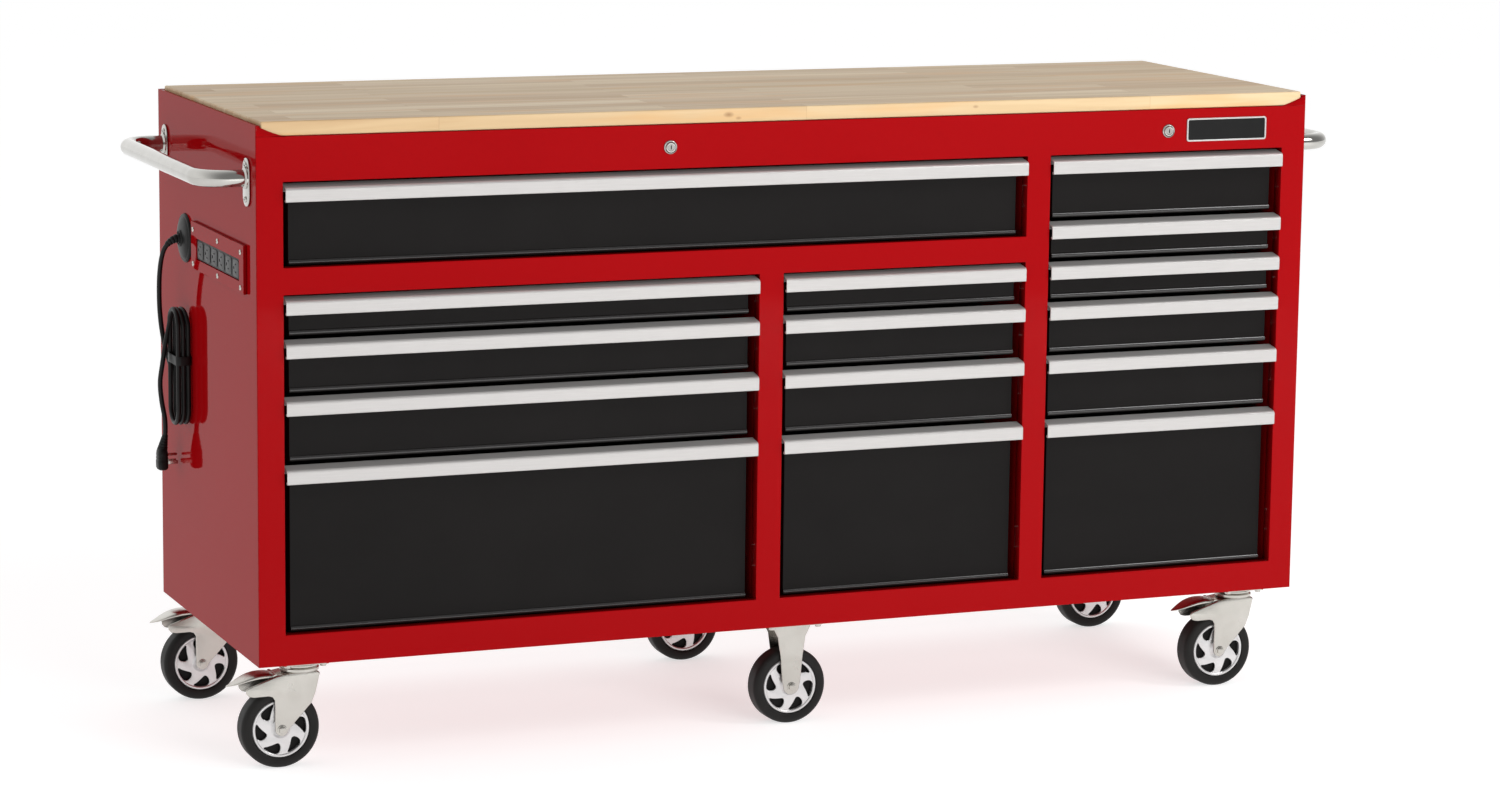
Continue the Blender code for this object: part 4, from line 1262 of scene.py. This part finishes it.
def side_handle(side, sign):
    """Bent chrome tube between two oval flanges, each with two screws."""
    low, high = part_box(f"side_handle_{side}")
    face = SIDE + GAP
    out = max(abs(low.x), abs(high.x)) - HANDLE_TUBE
    half = (high.y - low.y) / 2 - BRACKET[0] / 2
    middle_z = (low.z + high.z) / 2
    tube_z = middle_z + 0.0065
    corner, turn = out - HANDLE_BEND, half - HANDLE_BEND
    path = [(face + 0.001, half), (face + 0.012, half)]
    path += arc((corner, turn), HANDLE_BEND, 90, 0, 16) + arc((corner, -turn), HANDLE_BEND, 0, -90, 16)
    path += [(face + 0.012, -half), (face + 0.001, -half)]
    points = [(sign * x, y + MIDDLE_Y, tube_z) for x, y in path]
    parts = [sweep("handle", points, [HANDLE_TUBE] * len(points), 40)]
    for y in (MIDDLE_Y - half, MIDDLE_Y + half):
        x0, x1 = sorted((sign * face, sign * (face + BRACKET_THICKNESS)))
        parts.append(slab("flange", [stadium((y, middle_z), *BRACKET)], x0, x1, "X", 0.0010))
        collar = [
            (0.0140, 0), (0.0168, 0), (0.0166, 0.0022), (0.0150, 0.0040),
            (0.0134, 0.0048), (0.0134, 0), (0.0140, 0),
        ]
        outer = (sign * (face + BRACKET_THICKNESS - 0.0002), y, tube_z)
        parts.append(lathe("collar", collar, outer, (sign, 0, 0), 48))
        for z in (middle_z - 0.0265, middle_z + 0.0270):
            screw = (sign * (face + BRACKET_THICKNESS - 0.0001), y, z)
            parts.append(pan_head(screw, (sign, 0, 0), 0.0050, 0.0028))
    name = f"push_handle_{side}"
    add(name, merged(name, parts, 35), CHROME, stands_for=(f"side_handle_{side}",))


def lock(name):
    """Lock plug with a keyway, inside a polished bezel, and its cam behind the sheet."""
    low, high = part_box(name)
    place = JOINTS[f"{name}_turn"]["pos_m"]
    x, z = place[0], place[2]
    radius = BARREL_RADIUS
    front = low.y
    profile = [
        (0, 0.0), (0.0050, 0.0), (0.0054, 0.0004), (0.0060, 0.0004), (0.0066, 0.0002), (0.0080, 0.0006),
        (radius, 0.0018), (radius, high.y - front), (0, high.y - front),
    ]
    barrel = lathe("barrel", profile, (x, front, z), (0, 1, 0), 48)
    keyway = block("keyway", (x - 0.0008, front - 0.002, z - 0.0032), (x + 0.0008, front + 0.006, z + 0.0032))
    barrel = subtract(barrel, [keyway])
    cam = block("cam", (x - 0.006, high.y - 0.003, z - 0.006), (x + 0.006, high.y - 0.001, z + 0.026), 0.0006)
    add(f"{name}_barrel", merged("barrel", [barrel, cam]), CHROME, name, (name,))
    bezel = [
        (0.0091, 0), (0.0114, 0), (0.0114, 0.0010), (0.0108, 0.0020),
        (0.0100, 0.0024), (0.0091, 0.0022), (0.0091, 0),
    ]
    add(f"{name}_bezel", lathe("bezel", bezel, (x, FRONT, z), (0, -1, 0), 64), CHROME)
    # Painted shade: a dark block set 2 mm into the keyway stands in for the shade inside the slot.
    shade_low, shade_high = (x - 0.0007, front + 0.0020, z - 0.0031), (x + 0.0007, front + 0.0055, z + 0.0031)
    keyway_shade = block("keyway_shade", shade_low, shade_high)
    add(f"{name}_keyway", keyway_shade, BLACK_CORE_AND_KEYWAY_SHADE, name)


BADGE_SIZE = (0.150, 0.039)
BADGE_CENTRE = (0.764, 0.9705)
OUTLETS = 6


def badge():
    """Blank name plate: bright rim round a dark face."""
    outer = rounded_rectangle(BADGE_CENTRE, *BADGE_SIZE, 0.0045)
    inner = rounded_rectangle(BADGE_CENTRE, BADGE_SIZE[0] - 0.0056, BADGE_SIZE[1] - 0.0056, 0.0024)
    rim = slab("badge_rim", [outer, inner], FRONT - 0.0024, FRONT - 0.0001, "Y", 0.0007)
    add("badge_rim", rim, ALUMINIUM)
    face = rounded_rectangle(BADGE_CENTRE, BADGE_SIZE[0] - 0.0052, BADGE_SIZE[1] - 0.0052, 0.0024)
    plate = slab("badge_plate", [face], FRONT - 0.0014, FRONT - 0.0001, "Y", 0.0003)
    add("badge_plate", plate, PLASTIC)


def power_strip():
    """Screws on the cover, and a moulded outlet strip in its recess."""
    finish_node("power_strip_cover", RED, 0.0009, 3)
    low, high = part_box("power_strip_cover")
    face = low.x
    screws = []
    span = high.y - low.y
    for z in (low.z + 0.009, high.z - 0.0125):
        for share in (0.05, 0.48, 0.955):
            screws.append(pan_head((face + 0.0001, low.y + span * share, z), (-1, 0, 0), 0.0043, 0.0024))
    add("power_strip_screws", merged("power_strip_screws", screws), ZINC)
    y0, y1, z0, z1 = low.y + 0.0265, high.y - 0.0325, low.z + 0.0185, high.z - 0.0255
    body = block("outlet_strip", (face + 0.0020, y0, z0), (face + 0.0040, y1, z1), 0.0008)
    faces, cutters = [], []
    for i in range(OUTLETS):
        y = y0 + (y1 - y0) * (i + 0.5) / OUTLETS
        z = (z0 + z1) / 2
        outline = rounded_rectangle((y, z), 0.034, 0.0275, 0.006)
        faces.append(slab("outlet", [outline], face + 0.0010, face + 0.0030, "X", 0.0006))
        for dz, half in ((-0.0062, 0.0040), (0.0062, 0.0034)):
            low_corner = (face - 0.001, y - half, z + dz - 0.0010)
            cutters.append(block("slot", low_corner, (face + 0.0035, y + half, z + dz + 0.0010)))
        cutters.append(lathe("earth", [(0, 0), (0.0026, 0), (0.0026, 0.0045), (0, 0.0045)],
                             (face - 0.001, y + 0.0105, z), (1, 0, 0), 20))
    strip = subtract(merged("outlet_faces", faces), [merged("slots", cutters)])
    add("outlet_faces", strip, GREY_PLASTIC)
    add("outlet_strip", body, PLASTIC)


def fittings():
    side_handle("left", -1)
    side_handle("right", 1)
    lock("main_lock")
    lock("column_lock")
    badge()
    power_strip()


# Stage


def area_light(name, place, aim, size, power):
    data = bpy.data.lights.new(name, "AREA")
    data.shape = "RECTANGLE"
    data.size, data.size_y = size
    data.energy = power
    light = placed(name, data)
    light.location = place
    light.rotation_euler = (Vector(aim) - Vector(place)).to_track_quat("-Z", "Y").to_euler()
    return light


def surroundings():
    """Even studio surroundings: bright behind the workbench, dimmer on the side of the eye."""
    world = bpy.data.worlds.new("studio")
    world.use_nodes = True
    tree = world.node_tree
    direction = tree.nodes.new("ShaderNodeTexCoord").outputs["Generated"]
    away = tree.nodes.new("ShaderNodeVectorMath")
    away.operation = "DOT_PRODUCT"
    away.inputs[1].default_value = (-0.50, 0.80, -0.33)
    tree.links.new(direction, away.inputs[0])
    spread = tree.nodes.new("ShaderNodeMapRange")
    spread.interpolation_type = "SMOOTHSTEP"
    for socket, value in (("From Min", -0.8), ("From Max", 0.6), ("To Min", 0.30), ("To Max", 1.10)):
        spread.inputs[socket].default_value = value
    tree.links.new(away.outputs["Value"], spread.inputs["Value"])
    tree.links.new(spread.outputs["Result"], tree.nodes["Background"].inputs["Strength"])
    tree.nodes["Background"].inputs["Color"].default_value = (1.0, 1.0, 1.0, 1.0)
    return world


def stage():
    """Wide pale floor, even pale surroundings and two soft lights."""
    bm = bmesh.new()
    bmesh.ops.create_grid(bm, x_segments=2, y_segments=2, size=60)
    floor = placed("floor", mesh_of(bm, "floor"))
    look = Look("pale_floor", (0.60, 0.60, 0.60), 0.8, Specular_IOR_Level=0.0)
    look.tones(look.noise(0.6, 2), (0.595, 0.595, 0.595), (0.605, 0.605, 0.605))
    look.shader.inputs["Emission Color"].default_value = (1.0, 1.0, 1.0, 1.0)
    look.shader.inputs["Emission Strength"].default_value = 0.62
    floor.data.materials.append(look.material)
    bpy.context.scene.world = surroundings()
    key = area_light("key", (1.0, -4.8, 1.3), (0.1, 0, 0.55), (3.2, 2.0), 190)
    key.visible_glossy = False
    area_light("softbox", (3.1, -3.0, 3.4), (0.65, -0.3, 0.6), (1.5, 1.5), 60)
    bpy.context.scene.view_settings.view_transform = "Standard"


# Assembly

make_camera()
cord_set()
case()
drawers()
casters()
fittings()
stage()
